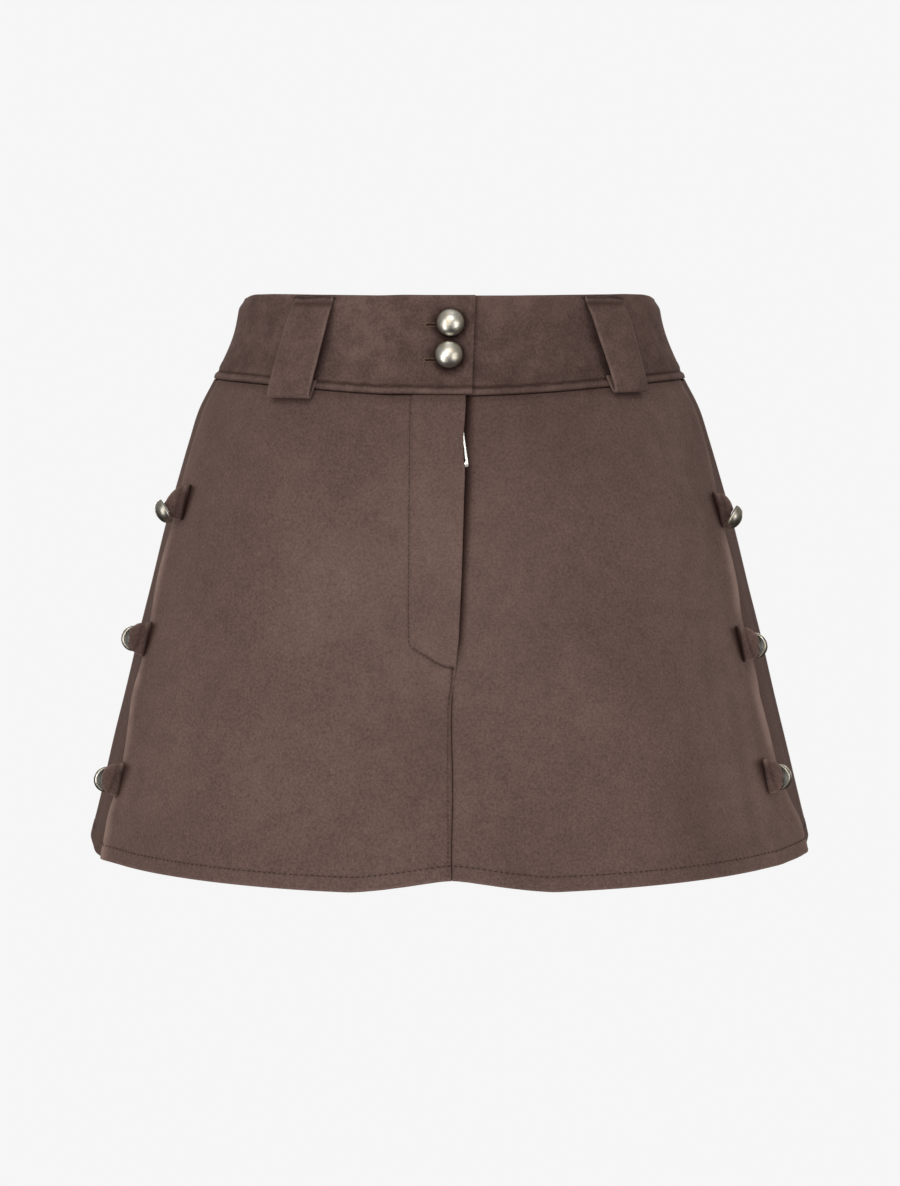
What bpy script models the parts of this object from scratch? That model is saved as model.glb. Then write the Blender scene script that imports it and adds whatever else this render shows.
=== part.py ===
"""A suede skort, filled out as if worn, for Blender 4.5: metres, +Z up, the front facing -Y.

The origin is the middle of the waist opening, where a wearer's waist holds the garment, and z = 0 is
the waistband's top edge at the sides. Names ending in _l and _r are on the left and right as seen from
the front (-X and +X). Tables and sizes are in millimetres, and are divided by 1000 where a mesh is made.

Everything follows one reference surface, `skin`: a stack of half-ellipses given by BODY. A panel is a
grid of points on that surface, moved out by its own lift, and made a wall with Solidify.
"""

import functools
import math

import bpy
import numpy as np
from mathutils import Matrix, Vector

# ------------------------------------------------------------------ driving dimensions (mm)
LENGTH = 342.0  # waistband's top edge to the hem, in front
BAND_DEPTH = 51.6  # at the side seams
BAND_DIP = 8.6  # how much lower the waist seam is at the centre front
BAND_TOP_DIP = 2.0  # and the band's top edge
BAND_THICK = 2.5
BAND_PROUD = 0.5  # the band's face stands this far off the panels'
CLOTH = 1.5
SHORTS_CLOTH = 1.0
GAP = 0.3  # between neighbouring pieces
UNDERLAP = 2.0  # how far the back's margin tucks in under the front's edge
CENTRE_SEAM = 1.5  # x of the centre front seam
HEM_SIDE_RISE = 1.8  # of the hem at the sides
HEM_NOTCH = 8.9  # rise of the hem at the centre front
HEM_NOTCH_REACH = 60.0

# The figure's sections from the waistband down.
# height, half width, depth in front of the side line, depth behind it
BODY = (
    (0.0, 127.3, 95.0, 98.0),
    (-24.0, 132.0, 99.0, 102.5),
    (-52.0, 144.6, 105.4, 110.8),
    (-69.0, 153.4, 110.0, 119.0),
    (-89.0, 160.1, 116.5, 127.5),
    (-127.0, 171.3, 127.5, 139.0),
    (-199.0, 189.8, 143.0, 150.0),
    (-269.0, 207.2, 156.5, 160.0),
    (-342.0, 224.9, 170.3, 171.3),
)

# The front panels' free side edges, in degrees round from the centre front.
# height, left, right
SIDE_EDGE = (
    (-52.0, 77.0, 76.0),
    (-94.0, 76.5, 75.5),
    (-129.0, 74.5, 74.0),
    (-169.0, 75.5, 73.7),
    (-193.0, 73.3, 70.9),
    (-210.0, 73.6, 70.0),
    (-239.0, 74.2, 68.2),
    (-275.0, 71.2, 70.6),
    (-293.0, 71.2, 72.6),
    (-311.0, 73.0, 74.7),
    (-342.0, 72.6, 78.0),
)
# How far those edges billow away from the back between the closures.
# height, left, right
BILLOW = (
    (-52.0, 0.0, 0.0),
    (-94.0, 0.3, 0.3),
    (-129.0, 0.4, 0.4),
    (-171.0, 1.6, 2.0),
    (-210.0, 0.5, 0.4),
    (-251.0, 2.0, 2.4),
    (-293.0, 0.5, 0.4),
    (-321.0, 2.2, 1.4),
    (-342.0, 2.4, 1.0),
)
# The centre front: where each panel's edge lies (x), and how far the fly stands off.
# height, left panel's edge, right panel's edge, lift of the fly
CENTRE_FRONT = (
    (-52.0, 9.1, 7.6, 3.0),
    (-65.0, 9.1, 7.6, 4.4),
    (-75.0, 9.1, 7.6, 5.8),
    (-101.0, 8.8, 7.2, 6.3),
    (-121.0, 8.2, 6.9, 5.2),
    (-149.0, 7.4, 6.8, 3.4),
    (-184.0, 6.0, 6.8, 2.4),
    (-201.0, 5.1, 6.7, 2.0),
    (-211.0, 4.1, 5.4, 1.6),
    (-222.0, 2.9, 3.7, 0.7),
    (-235.0, CENTRE_SEAM - GAP / 2, CENTRE_SEAM + GAP / 2, 0.0),
    (-342.0, CENTRE_SEAM - GAP / 2, CENTRE_SEAM + GAP / 2, 0.0),
)
FLY_RISE = (-36.0, -14.0)  # x over which the left panel rises to the fly's lift

# Soft folds: angle, top, bottom, half width in degrees, height at the bottom
FOLDS = (
    (-65.5, -109.0, -342.0, 5.0, 1.6),
    (61.0, -109.0, -342.0, 5.0, 2.0),
    (-27.0, -215.0, -342.0, 12.0, 1.4),
    (31.0, -190.0, -342.0, 14.0, 1.6),
    (112.0, -150.0, -342.0, 13.0, 4.0),
    (150.0, -120.0, -342.0, 12.0, 5.5),
    (-118.0, -165.0, -342.0, 14.0, 4.5),
    (-156.0, -135.0, -342.0, 11.0, 5.0),
)

# Waistband overlap: the left end laps over the right one.
LAP_END = (15.2, 13.2)  # x of the left band's end at its top and bottom
LAP_UNDER = -20.0  # x of the right band's end beneath it
LAP_RISE = (-44.0, -25.0)
BAND_SEAM = 92.0  # degrees: where front and back bands meet

# Belt loops: name, angle, width at the top, width at the bottom, length
LOOPS = (
    ("belt_loop_front_l", -38.3, 26.0, 28.0, 62.6),
    ("belt_loop_front_r", 45.2, 27.5, 23.5, 59.4),
    ("belt_loop_back_l", -138.0, 27.0, 26.0, 61.0),
    ("belt_loop_back_r", 138.0, 27.0, 26.0, 61.0),
)
LOOP_THICK = 1.6
LOOP_STAND = 8.2  # of the strip's middle off the band, which leaves a 7.4 mm slot
# The strip's path: share of the length down from z = 0, distance out from the band's face.
LOOP_PATH = (
    (0.035, 1.15),
    (0.10, 1.3),
    (0.16, 3.4),
    (0.22, 6.4),
    (0.30, LOOP_STAND),
    (0.51, LOOP_STAND),
    (0.74, LOOP_STAND),
    (0.91, 7.9),
    (0.975, 6.6),
    (1.0, 4.5),
    (0.98, 2.4),
    (0.925, 1.75),
    (0.83, 1.75),
)

# Buttons: half-balls of polished metal.
FRONT_BUTTONS = (  # name, x, height
    ("front_button_upper", 0.5, -19.1),
    ("front_button_lower", -0.4, -37.9),
)
FRONT_BUTTON_RADIUS = 8.6
SIDE_BUTTON_RADIUS = 7.8
SIDE_BUTTON_HEIGHT = 7.2

# Side closures. A tongue is sewn to the back's margin and stands straight out through a slit in the
# front. It carries a half-ball: "behind" it, or "endways" on its narrow end like a mushroom's cap.
# name, slit's angle, slit's height, button's distance off the reference surface, its rise, how it hangs
CLOSURES = (
    ("l1", -68.3, -125.5, 12.4, -4.3, "endways"),
    ("l2", -71.3, -208.6, 8.7, 0.6, "behind"),
    ("l3", -67.7, -292.1, 9.8, 0.4, "behind"),
    ("r1", 69.8, -130.3, 8.6, -3.4, "endways"),
    ("r2", 65.2, -210.0, 8.6, -0.8, "behind"),
    ("r3", 62.7, -288.1, 9.2, -0.4, "behind"),
)
TAB_THICK = 1.8
TAB_WIDTH = 20.0
TAB_SHOULDER = 3.0  # off the reference surface, where the tongue begins to narrow
TAB_BEYOND = 3.8  # the tongue's tip past the middle of a button behind it
ENDWAYS_DROOP = 29.0  # degrees by which a tongue has turned down where its end holds a button
SLIT_PLAY = 0.5  # the slit is this much wider than the tongue on each side
SLIT_DEEP = 12.0  # of the box that cuts it
# Share of the way from the shoulder to the tip, share of the full width there
TIP_BEHIND = ((0.25, 0.97), (0.45, 0.86), (0.64, 0.68), (0.82, 0.52), (0.93, 0.36), (1.0, 0.15))
TIP_ENDWAYS = ((0.3, 0.94), (0.6, 0.74), (0.8, 0.55), (1.0, 0.4))

# Zip
ZIP_X = 4.2  # x of its middle line
ZIP_TOP, ZIP_BOTTOM = -61.5, -196.0  # heights
TAPE_WIDTH, TAPE_THICK = 25.0, 0.7
TAPE_OUT = -1.9  # of the tape's face, 0.4 mm behind the panels
CHAIN_WIDTH, CHAIN_PROUD = 5.0, 1.6
SLIDER_HEIGHT = -76.6
SLIDER_WIDTH, SLIDER_LONG, SLIDER_THICK = 6.6, 9.0, 1.0
PULL_LONG, PULL_WIDTH, PULL_THICK = 27.0, 6.6, 1.0
PULL_TILT = 8.0  # degrees to the right
PULL_PIVOT = 1.9  # off the reference surface

# Inner shorts.
# height, inset at the side, inset in front and behind, x of the leg's foremost point, its half width
# on the inner side
SHORTS = (
    (-46.0, 2.7, 2.7, 0.0, 60.0),
    (-49.0, 2.7, 2.7, 0.0, 60.0),
    (-52.0, 4.4, 4.4, 0.0, 60.0),
    (-64.5, 6.5, 6.5, 0.0, 60.0),
    (-93.5, 9.0, 9.0, 0.0, 60.0),
    (-128.5, 11.0, 12.0, 0.0, 60.0),
    (-158.5, 14.0, 17.0, 8.0, 60.0),
    (-183.5, 18.0, 21.0, 38.0, 62.0),
    (-203.5, 22.0, 26.0, 60.0, 65.0),
    (-220.5, 26.0, 31.0, 72.0, 70.0),
    (-248.5, 33.0, 39.0, 79.0, 74.5),
    (-276.5, 40.0, 47.0, 82.0, 75.5),
    (-303.5, 47.0, 55.0, 84.0, 76.0),
)
SHORTS_COLUMNS = 24

# ------------------------------------------------------------------ colours (sRGB 0-255) and finishes
SUEDE = ("suede", (103, 82, 77), 0.95, 0.0)
JERSEY = ("shorts_cloth", (84, 66, 61), 0.9, 0.0)
SILVER = ("antique_silver", (150, 148, 142), 0.25, 1.0)
ZIP_METAL = ("zip_nickel", (176, 174, 170), 0.3, 1.0)
ZIP_TAPE = ("zip_tape", (74, 57, 53), 0.9, 0.0)


# ------------------------------------------------------------------ small tools
def slopes_of(keys, values):
    """Slopes for a curve through a table's rows that never overshoots them."""
    steps = np.diff(values) / np.diff(keys)
    slopes = np.gradient(values, keys)
    for i in range(len(slopes)):
        near = steps[max(i - 1, 0) : i + 1]
        if near.min() * near.max() <= 0:
            slopes[i] = 0.0
        else:
            slopes[i] = np.clip(slopes[i], -2 * abs(near).min(), 2 * abs(near).min())
    return slopes


@functools.cache
def curves_of(rows):
    """A table's keys, in rising order, and each column's values and slopes."""
    table = np.array(sorted(rows), float)
    keys = table[:, 0]
    return keys, [(column, slopes_of(keys, column)) for column in table.T]


def columns_at(rows, key, *wanted):
    """The wanted columns of a table at `key`, by cubic curves through its rows."""
    keys, curves = curves_of(rows)
    key = min(max(key, keys[0]), keys[-1])
    after = int(min(max(np.searchsorted(keys, key), 1), len(keys) - 1))
    before = after - 1
    span = keys[after] - keys[before]
    part = (key - keys[before]) / span
    found = []
    for column in wanted:
        values, slopes = curves[column]
        found.append(
            (1 + 2 * part) * (1 - part) ** 2 * values[before]
            + part * (1 - part) ** 2 * span * slopes[before]
            + part**2 * (3 - 2 * part) * values[after]
            + part**2 * (part - 1) * span * slopes[after]
        )
    return found


def ease(value, start, end):
    """0 before `start`, 1 past `end`, and a smooth step between them."""
    part = min(max((value - start) / (end - start), 0.0), 1.0)
    return part * part * (3 - 2 * part)


def bump(value, middle, half_width):
    """1 at the middle, falling smoothly to 0 at the half width."""
    part = abs(value - middle) / half_width
    return 0.0 if part >= 1 else (1 + math.cos(math.pi * part)) / 2


def unit(vector):
    return vector / np.linalg.norm(vector)


# ------------------------------------------------------------------ the reference surface
def section(z):
    """Half width, depth in front and depth behind at height z."""
    return columns_at(BODY, z, 1, 2, 3)


def base_point(angle, z):
    half_width, front, behind = section(z)
    turn = math.radians(angle)
    depth = front if math.cos(turn) > 0 else behind
    return np.array([half_width * math.sin(turn), -depth * math.cos(turn), z])


def outward(angle, z):
    """The surface's outward direction."""
    small_turn, small_drop = 0.2, 0.5
    along = base_point(angle + small_turn, z) - base_point(angle - small_turn, z)
    up = base_point(angle, z + small_drop) - base_point(angle, z - small_drop)
    return unit(np.cross(along, up))


def skin(angle, z, out=0.0):
    """The point `out` mm off the reference surface, `angle` degrees round from the centre front."""
    return base_point(angle, z) + out * outward(angle, z)


def angle_of_x(x, z, behind=False):
    """The angle at which the surface is x mm from the middle plane."""
    angle = math.degrees(math.asin(x / section(z)[0]))
    return (180.0 - angle) if behind else angle


def seam_height(angle):
    """The waist seam, which dips a little at the centre front."""
    return -BAND_DEPTH - BAND_DIP * math.exp(-((angle / 44.0) ** 2))


def band_top(angle):
    return -BAND_TOP_DIP * math.exp(-((angle / 50.0) ** 2))


def hem_height(angle):
    """The hem, a little higher at the sides, with its notch at the centre front."""
    sideways = math.sin(math.radians(angle))
    x = section(-LENGTH)[0] * sideways
    near = max(0.0, 1 - abs(x - CENTRE_SEAM) / HEM_NOTCH_REACH) if abs(angle) < 90 else 0.0
    return -LENGTH + HEM_SIDE_RISE * sideways**2 + HEM_NOTCH * near**1.3


def folds(angle, z):
    """Height of the soft folds at this place."""
    total = 0.0
    for middle, top, bottom, half_width, height in FOLDS:
        total += height * bump(angle, middle, half_width) * ease(-z, -top, -bottom)
    return total


def front_lift(angle, z):
    side = 1 if angle < 0 else 2
    lift = folds(angle, z)
    lift += columns_at(BILLOW, z, side)[0] * ease(abs(angle), 60.0, 76.0)
    if angle < angle_of_x(30.0, z):
        x = section(z)[0] * math.sin(math.radians(angle))
        lift += columns_at(CENTRE_FRONT, z, 3)[0] * ease(x, *FLY_RISE)
    return lift


def right_front_lift(angle, z):
    """The right panel lies flat under the fly."""
    return folds(angle, z) + columns_at(BILLOW, z, 2)[0] * ease(abs(angle), 60.0, 76.0)


def back_lift(angle, z):
    """The back's margin tucks in under the front's edge."""
    return folds(angle, z) * ease(abs(angle), 84.0, 92.0) - UNDERLAP * (1 - ease(abs(angle), 80.5, 88.0))


# ------------------------------------------------------------------ Blender objects
def clear_scene():
    for old in list(bpy.data.objects):
        bpy.data.objects.remove(old, do_unlink=True)
    for name in ("suede_skort", "cutters"):
        bpy.context.scene.collection.children.link(bpy.data.collections.new(name))


def linear(channel):
    value = channel / 255
    return value / 12.92 if value <= 0.04045 else ((value + 0.055) / 1.055) ** 2.4


def material(name, colour, roughness, metallic):
    found = bpy.data.materials.get(name)
    if found:
        return found
    made = bpy.data.materials.new(name)
    made.use_nodes = True
    shader = made.node_tree.nodes["Principled BSDF"]
    shader.inputs["Base Color"].default_value = (*[linear(c) for c in colour], 1.0)
    shader.inputs["Roughness"].default_value = roughness
    shader.inputs["Metallic"].default_value = metallic
    return made


def add_object(name, points, faces, finish, collection="suede_skort"):
    """A mesh object from points in mm, placed by its middle so that its origin is on it."""
    points = np.array(points, float)
    middle = points.mean(axis=0)
    mesh = bpy.data.meshes.new(name)
    mesh.from_pydata(((points - middle) / 1000).tolist(), [], faces)
    mesh.materials.append(material(*finish))
    mesh.shade_smooth()
    mesh.set_sharp_from_angle(angle=math.radians(40))
    made = bpy.data.objects.new(name, mesh)
    made.location = Vector(middle / 1000)
    bpy.data.collections[collection].objects.link(made)
    return made


def add_grid(name, grid, finish, thickness, offset=-1.0):
    """A wall of cloth: `grid` is rows of points, each row running to the right as seen from outside."""
    rows, columns = len(grid), len(grid[0])
    points = [point for row in grid for point in row]
    faces = []
    for r in range(rows - 1):
        for c in range(columns - 1):
            corner = r * columns + c
            faces.append((corner, corner + columns, corner + columns + 1, corner + 1))
    made = add_object(name, points, faces, finish)
    wall = made.modifiers.new("wall", "SOLIDIFY")
    wall.thickness = thickness / 1000
    wall.offset = offset
    return made


def cut(target, cutter):
    cutter.hide_render = True
    cutter.display_type = "WIRE"
    boolean = target.modifiers.new("cut_" + cutter.name, "BOOLEAN")
    boolean.operation = "DIFFERENCE"
    boolean.object = cutter


def box_between(name, middle, axes, sizes):
    """A box cutter or block about `middle`, with its sides along three directions."""
    bpy.ops.mesh.primitive_cube_add(size=1.0)
    made = bpy.context.active_object
    made.name = name
    turn = Matrix([[float(axis[i]) for axis in axes] for i in range(3)]).to_4x4()
    scale = Matrix.Diagonal((*[size / 1000 for size in sizes], 1.0))
    made.data.transform(scale)
    made.matrix_world = Matrix.Translation(Vector(np.array(middle) / 1000)) @ turn
    for owner in list(made.users_collection):
        owner.objects.unlink(made)
    return made


def keep_in(made, collection, finish=None):
    bpy.data.collections[collection].objects.link(made)
    if finish:
        made.data.materials.append(material(*finish))
    return made


# ------------------------------------------------------------------ panels
def panel_grid(left_edge, right_edge, top, bottom, lift, across, down):
    """Points of a panel. The edges give an angle at a height; top and bottom a height at an angle."""
    grid = []
    for share_down in down:
        row = []
        for share_across in across:
            edges = []
            for edge in (left_edge, right_edge):
                angle = edge(-200.0)
                for _ in range(3):
                    height = top(angle) + (bottom(angle) - top(angle)) * share_down
                    angle = edge(height)
                edges.append(angle)
            angle = edges[0] + (edges[1] - edges[0]) * share_across
            height = top(angle) + (bottom(angle) - top(angle)) * share_down
            row.append(skin(angle, height, lift(angle, height)))
        grid.append(row)
    return grid


def below_seam(angle):
    return seam_height(angle) - GAP


FRONT_DOWN = (0, 0.025, 0.065, 0.11, 0.155, 0.21, 0.26, 0.31, 0.36, 0.41, 0.46,
              0.51, 0.55, 0.59, 0.63, 0.68, 0.73, 0.78, 0.83, 0.88, 0.94, 1)  # fmt: skip
FRONT_ACROSS = (0, 0.035, 0.075, 0.12, 0.18, 0.28, 0.40, 0.52, 0.63, 0.72, 0.79, 0.85, 0.90, 0.95, 1)
BACK_DOWN = (0, 0.05, 0.11, 0.18, 0.26, 0.35, 0.44, 0.53, 0.62, 0.71, 0.80, 0.90, 1)
BACK_ACROSS = (0, 0.10, 0.175, 0.22, 0.265, 0.34, 0.42, 0.50, 0.58, 0.66, 0.74, 0.82, 0.91, 1)
BACK_MARGIN = 58.0  # degrees: how far forward the back's margin reaches


def build_front_panels():
    left = panel_grid(
        lambda z: -columns_at(SIDE_EDGE, z, 1)[0],
        lambda z: angle_of_x(columns_at(CENTRE_FRONT, z, 1)[0], z),
        below_seam, hem_height, front_lift, FRONT_ACROSS, FRONT_DOWN,
    )  # fmt: skip
    right = panel_grid(
        lambda z: angle_of_x(columns_at(CENTRE_FRONT, z, 2)[0], z),
        lambda z: columns_at(SIDE_EDGE, z, 2)[0],
        below_seam, hem_height, right_front_lift,
        [1 - share for share in reversed(FRONT_ACROSS)], FRONT_DOWN,
    )  # fmt: skip
    return {
        "l": add_grid("front_panel_l", left, SUEDE, CLOTH),
        "r": add_grid("front_panel_r", right, SUEDE, CLOTH),
    }


def build_back_panels():
    for side, sign in (("l", -1), ("r", 1)):
        def margin(z, sign=sign):
            return sign * BACK_MARGIN

        def centre_back(z, sign=sign):
            return sign * angle_of_x(GAP / 2, z, behind=True)

        edges = (centre_back, margin) if sign < 0 else (margin, centre_back)
        across = [1 - share for share in reversed(BACK_ACROSS)] if sign < 0 else BACK_ACROSS
        grid = panel_grid(*edges, below_seam, hem_height, back_lift, across, BACK_DOWN)
        add_grid("back_panel_" + side, grid, SUEDE, CLOTH)


# ------------------------------------------------------------------ waistband
def band_lift(angle, z, lapped):
    lift = BAND_PROUD
    if lapped and angle < 30:
        x = section(z)[0] * math.sin(math.radians(angle))
        lift += (BAND_THICK + GAP) * ease(x, *LAP_RISE)
    return lift


def build_waistband():
    down = (0, 0.2, 0.42, 0.62, 0.81, 1)
    seam_gap = 0.1  # degrees each side of the band's side seams

    def lap_end(z):
        share = min(max(-z / BAND_DEPTH, 0), 1)
        return angle_of_x(LAP_END[0] + (LAP_END[1] - LAP_END[0]) * share, z)

    def under_end(z):
        return angle_of_x(LAP_UNDER, z)

    pieces = (
        ("waistband_front_l", lambda z: -BAND_SEAM + seam_gap, lap_end, True, 18),
        ("waistband_front_r", under_end, lambda z: BAND_SEAM - seam_gap, False, 18),
        ("waistband_back", lambda z: BAND_SEAM + seam_gap, lambda z: 360 - BAND_SEAM - seam_gap, False, 26),
    )
    for name, left, right, lapped, count in pieces:
        across = [0, 0.012, *np.linspace(0, 1, count + 1)[1:-1], 0.988, 1]  # true edges at the seams
        grid = panel_grid(
            left, right, band_top, seam_height,
            lambda angle, z, lapped=lapped: band_lift(angle, z, lapped), across, down,
        )  # fmt: skip
        add_grid(name, grid, SUEDE, BAND_THICK)


def build_belt_loops():
    for name, angle, top_width, bottom_width, length in LOOPS:
        grid = []
        for share, out in LOOP_PATH:
            z = -length * share
            half = (top_width + (bottom_width - top_width) * share) / 2
            along = np.linalg.norm(base_point(angle + 0.5, z) - base_point(angle - 0.5, z))
            steps = np.linspace(-1, 1, 6)
            grid.append([skin(angle + step * half / along, z, BAND_PROUD + out) for step in steps])
        add_grid(name, grid, SUEDE, LOOP_THICK, offset=0.0)


# ------------------------------------------------------------------ turned metal
def add_turned(name, profile, place, axis, finish, steps=16):
    """A turned solid: `profile` is (radius, height) pairs from the top of the axis to its foot."""
    mesh = bpy.data.meshes.new(name)
    points = [(radius / 1000, 0.0, height / 1000) for radius, height in profile]
    mesh.from_pydata(points, [(i, i + 1) for i in range(len(points) - 1)], [])
    mesh.materials.append(material(*finish))
    made = bpy.data.objects.new(name, mesh)
    made.matrix_world = Matrix.Translation(Vector(np.array(place) / 1000)) @ Vector(
        [float(part) for part in axis]
    ).to_track_quat("Z", "Y").to_matrix().to_4x4()
    turned = made.modifiers.new("turned", "SCREW")
    turned.steps = turned.render_steps = steps
    turned.use_merge_vertices = True
    turned.merge_threshold = 0.00001
    turned.use_smooth_shade = True
    bpy.data.collections["suede_skort"].objects.link(made)
    return made


def half_ball(radius, height, recess):
    """A half-ball with a rounded rim, standing on z = 0; `recess` is its hollow back's depth."""
    rim, boss = 0.9, 2.4
    profile = []
    for degrees in (90, 72, 54, 37, 21, 7):
        turn = math.radians(degrees)
        profile.append((radius * math.cos(turn), rim + (height - rim) * math.sin(turn)))
    profile[0] = (0.0, height)
    profile += [(radius, rim * 0.55), (radius - 0.45, 0.0)]
    if recess:
        profile += [(radius - 1.3, 0.0), (radius - 1.6, recess), (boss, recess), (boss, 0.0)]
    profile.append((0.0, 0.0))
    return profile


def build_front_buttons():
    shank = 1.5  # the ball stands this far off the band, on a stem
    for name, x, z in FRONT_BUTTONS:
        angle = angle_of_x(x, z)
        axis = outward(angle, z)
        foot = skin(angle, z, band_lift(angle, z, True) + GAP)
        profile = [(radius, height + shank) for radius, height in half_ball(FRONT_BUTTON_RADIUS, 8.2, 0)[:-1]]
        profile += [(2.6, shank), (2.6, 0.0), (0.0, 0.0)]
        add_turned(name, profile, foot, axis, SILVER)


# ------------------------------------------------------------------ side closures
def tongue_plan(reach, rise, hangs):
    """Stations along a tongue: distance out, rise, half width, and its downward slope there."""
    if hangs == "endways":
        shares, end, end_slope = TIP_ENDWAYS, reach - GAP, math.radians(ENDWAYS_DROOP)
    else:
        shares, end, end_slope = TIP_BEHIND, reach + TAB_BEYOND, 0.0
    plan = [(TAB_SHOULDER, 0.0, TAB_WIDTH / 2, 0.0)]
    for share, width in shares:
        bent = ease(share, -0.2, 1.0)
        out = TAB_SHOULDER + (end - TAB_SHOULDER) * share
        plan.append((out, rise * bent, TAB_WIDTH / 2 * width, end_slope * bent))
    return plan


def build_side_closures(front_panels):
    upright = np.array([0.0, 0.0, 1.0])
    for name, angle, z, reach, rise, hangs in CLOSURES:
        side = 1.0 if angle > 0 else -1.0
        square = outward(angle, z)
        heading = unit(square * (1, 1, 0))
        backward = np.array([-heading[1] * side, heading[0] * side, 0.0])
        foot = base_point(angle, z)

        # The root lies on the sloping margin, and the other rows stand across the tongue.
        steps = np.linspace(0.5, -0.5, 4)
        fall = square[2] / (square @ heading)
        root = [(GAP - UNDERLAP - fall * step * TAB_WIDTH, step * TAB_WIDTH) for step in steps]
        rows = [root]
        for out, up, half, slope in tongue_plan(reach, rise, hangs):
            lean, height = math.sin(slope) * half * 2, math.cos(slope) * half * 2
            rows.append([(out + lean * step, up + height * step) for step in steps])
        grid = [[foot + heading * out + upright * up for out, up in row] for row in rows]
        add_grid("side_tab_" + name, [row[:: int(side)] for row in grid], SUEDE, TAB_THICK, offset=0.0)

        middle = foot + heading * reach + upright * rise
        if hangs == "endways":
            droop = math.radians(ENDWAYS_DROOP)
            axis = heading * math.cos(droop) - upright * math.sin(droop)
        else:
            axis = backward
            middle = middle + backward * (TAB_THICK / 2 + GAP)
        button = half_ball(SIDE_BUTTON_RADIUS, SIDE_BUTTON_HEIGHT, 1.2)
        add_turned("side_button_" + name, button, middle, axis, SILVER)

        slit = box_between(
            "slit_" + name, foot, (np.cross(heading, upright), heading, upright),
            (TAB_THICK + 2 * SLIT_PLAY, SLIT_DEEP, TAB_WIDTH + 2 * SLIT_PLAY),
        )  # fmt: skip
        keep_in(slit, "cutters")
        cut(front_panels[name[0]], slit)


# ------------------------------------------------------------------ zip
def zip_frame(z):
    """A place on the zip's line and its directions: right, down and out."""
    angle = angle_of_x(ZIP_X, z)
    out = outward(angle, z)
    down = unit(base_point(angle_of_x(ZIP_X, z - 1), z - 1) - base_point(angle_of_x(ZIP_X, z + 1), z + 1))
    right = np.cross(out, down)
    return base_point(angle, z), unit(right), down, out


def build_zip_chain():
    """The tapes and the closed chain, as one profile swept down the zip's line."""
    half_tape, half_chain = TAPE_WIDTH / 2, CHAIN_WIDTH / 2
    front, back = TAPE_OUT, TAPE_OUT - TAPE_THICK
    outline = (
        (-half_tape, back), (half_tape, back), (half_tape, front), (half_chain, front),
        (half_chain, front + CHAIN_PROUD), (-half_chain, front + CHAIN_PROUD),
        (-half_chain, front), (-half_tape, front),
    )  # fmt: skip
    points, faces = [], []
    heights = np.linspace(ZIP_TOP, ZIP_BOTTOM, 12)
    for z in heights:
        middle = angle_of_x(ZIP_X, z)
        along = np.linalg.norm(base_point(middle + 0.5, z) - base_point(middle - 0.5, z))
        for right, out in outline:
            points.append(skin(middle + right / along, z, out))
    count = len(outline)
    for r in range(len(heights) - 1):
        for c in range(count):
            a, b = r * count + c, r * count + (c + 1) % count
            faces.append((a, b, b + count, a + count))
    faces.append(tuple(range(count))[::-1])
    faces.append(tuple(range(len(points) - count, len(points))))
    add_object("zip_chain", points, faces, ZIP_TAPE)


def build_slider():
    """A plate over the chain, a rail down each side of it and an arch that holds the pull."""
    place, right, down, out = zip_frame(SLIDER_HEIGHT)
    face = TAPE_OUT + CHAIN_PROUD + GAP  # back of the plate
    rail_depth = face - TAPE_OUT - GAP
    blocks = [
        (0.0, 0.0, face + SLIDER_THICK / 2, SLIDER_WIDTH, SLIDER_LONG, SLIDER_THICK),
    ]
    for side in (-1, 1):
        rail_x = side * (CHAIN_WIDTH / 2 + GAP + 0.25)
        blocks.append((rail_x, 0.0, face - rail_depth / 2 + 0.1, 0.5, SLIDER_LONG, rail_depth + 0.2))
    arch_foot, arch_top, arch_wide = 2.4, 3.4, 1.6
    for end in (-1, 1):
        blocks.append((0.0, end * arch_foot, (face + 0.8 + arch_top) / 2, arch_wide, 0.9, arch_top - face - 0.8))
    blocks.append((0.0, 0.0, arch_top - 0.35, arch_wide, 2 * arch_foot + 0.9, 0.7))
    slider = None
    for index, (x, y, z, width, long, thick) in enumerate(blocks):
        middle = place + right * x + down * y + out * z
        block = box_between(f"zip_slider_block{index}", middle, (right, -down, out), (width, long, thick))
        if slider is None:
            slider = keep_in(block, "suede_skort", ZIP_METAL)
            slider.name = "zip_slider"
        else:
            keep_in(block, "cutters")
            block.hide_render = True
            block.display_type = "WIRE"
            union = slider.modifiers.new(f"join{index}", "BOOLEAN")
            union.operation = "UNION"
            union.object = block


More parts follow.
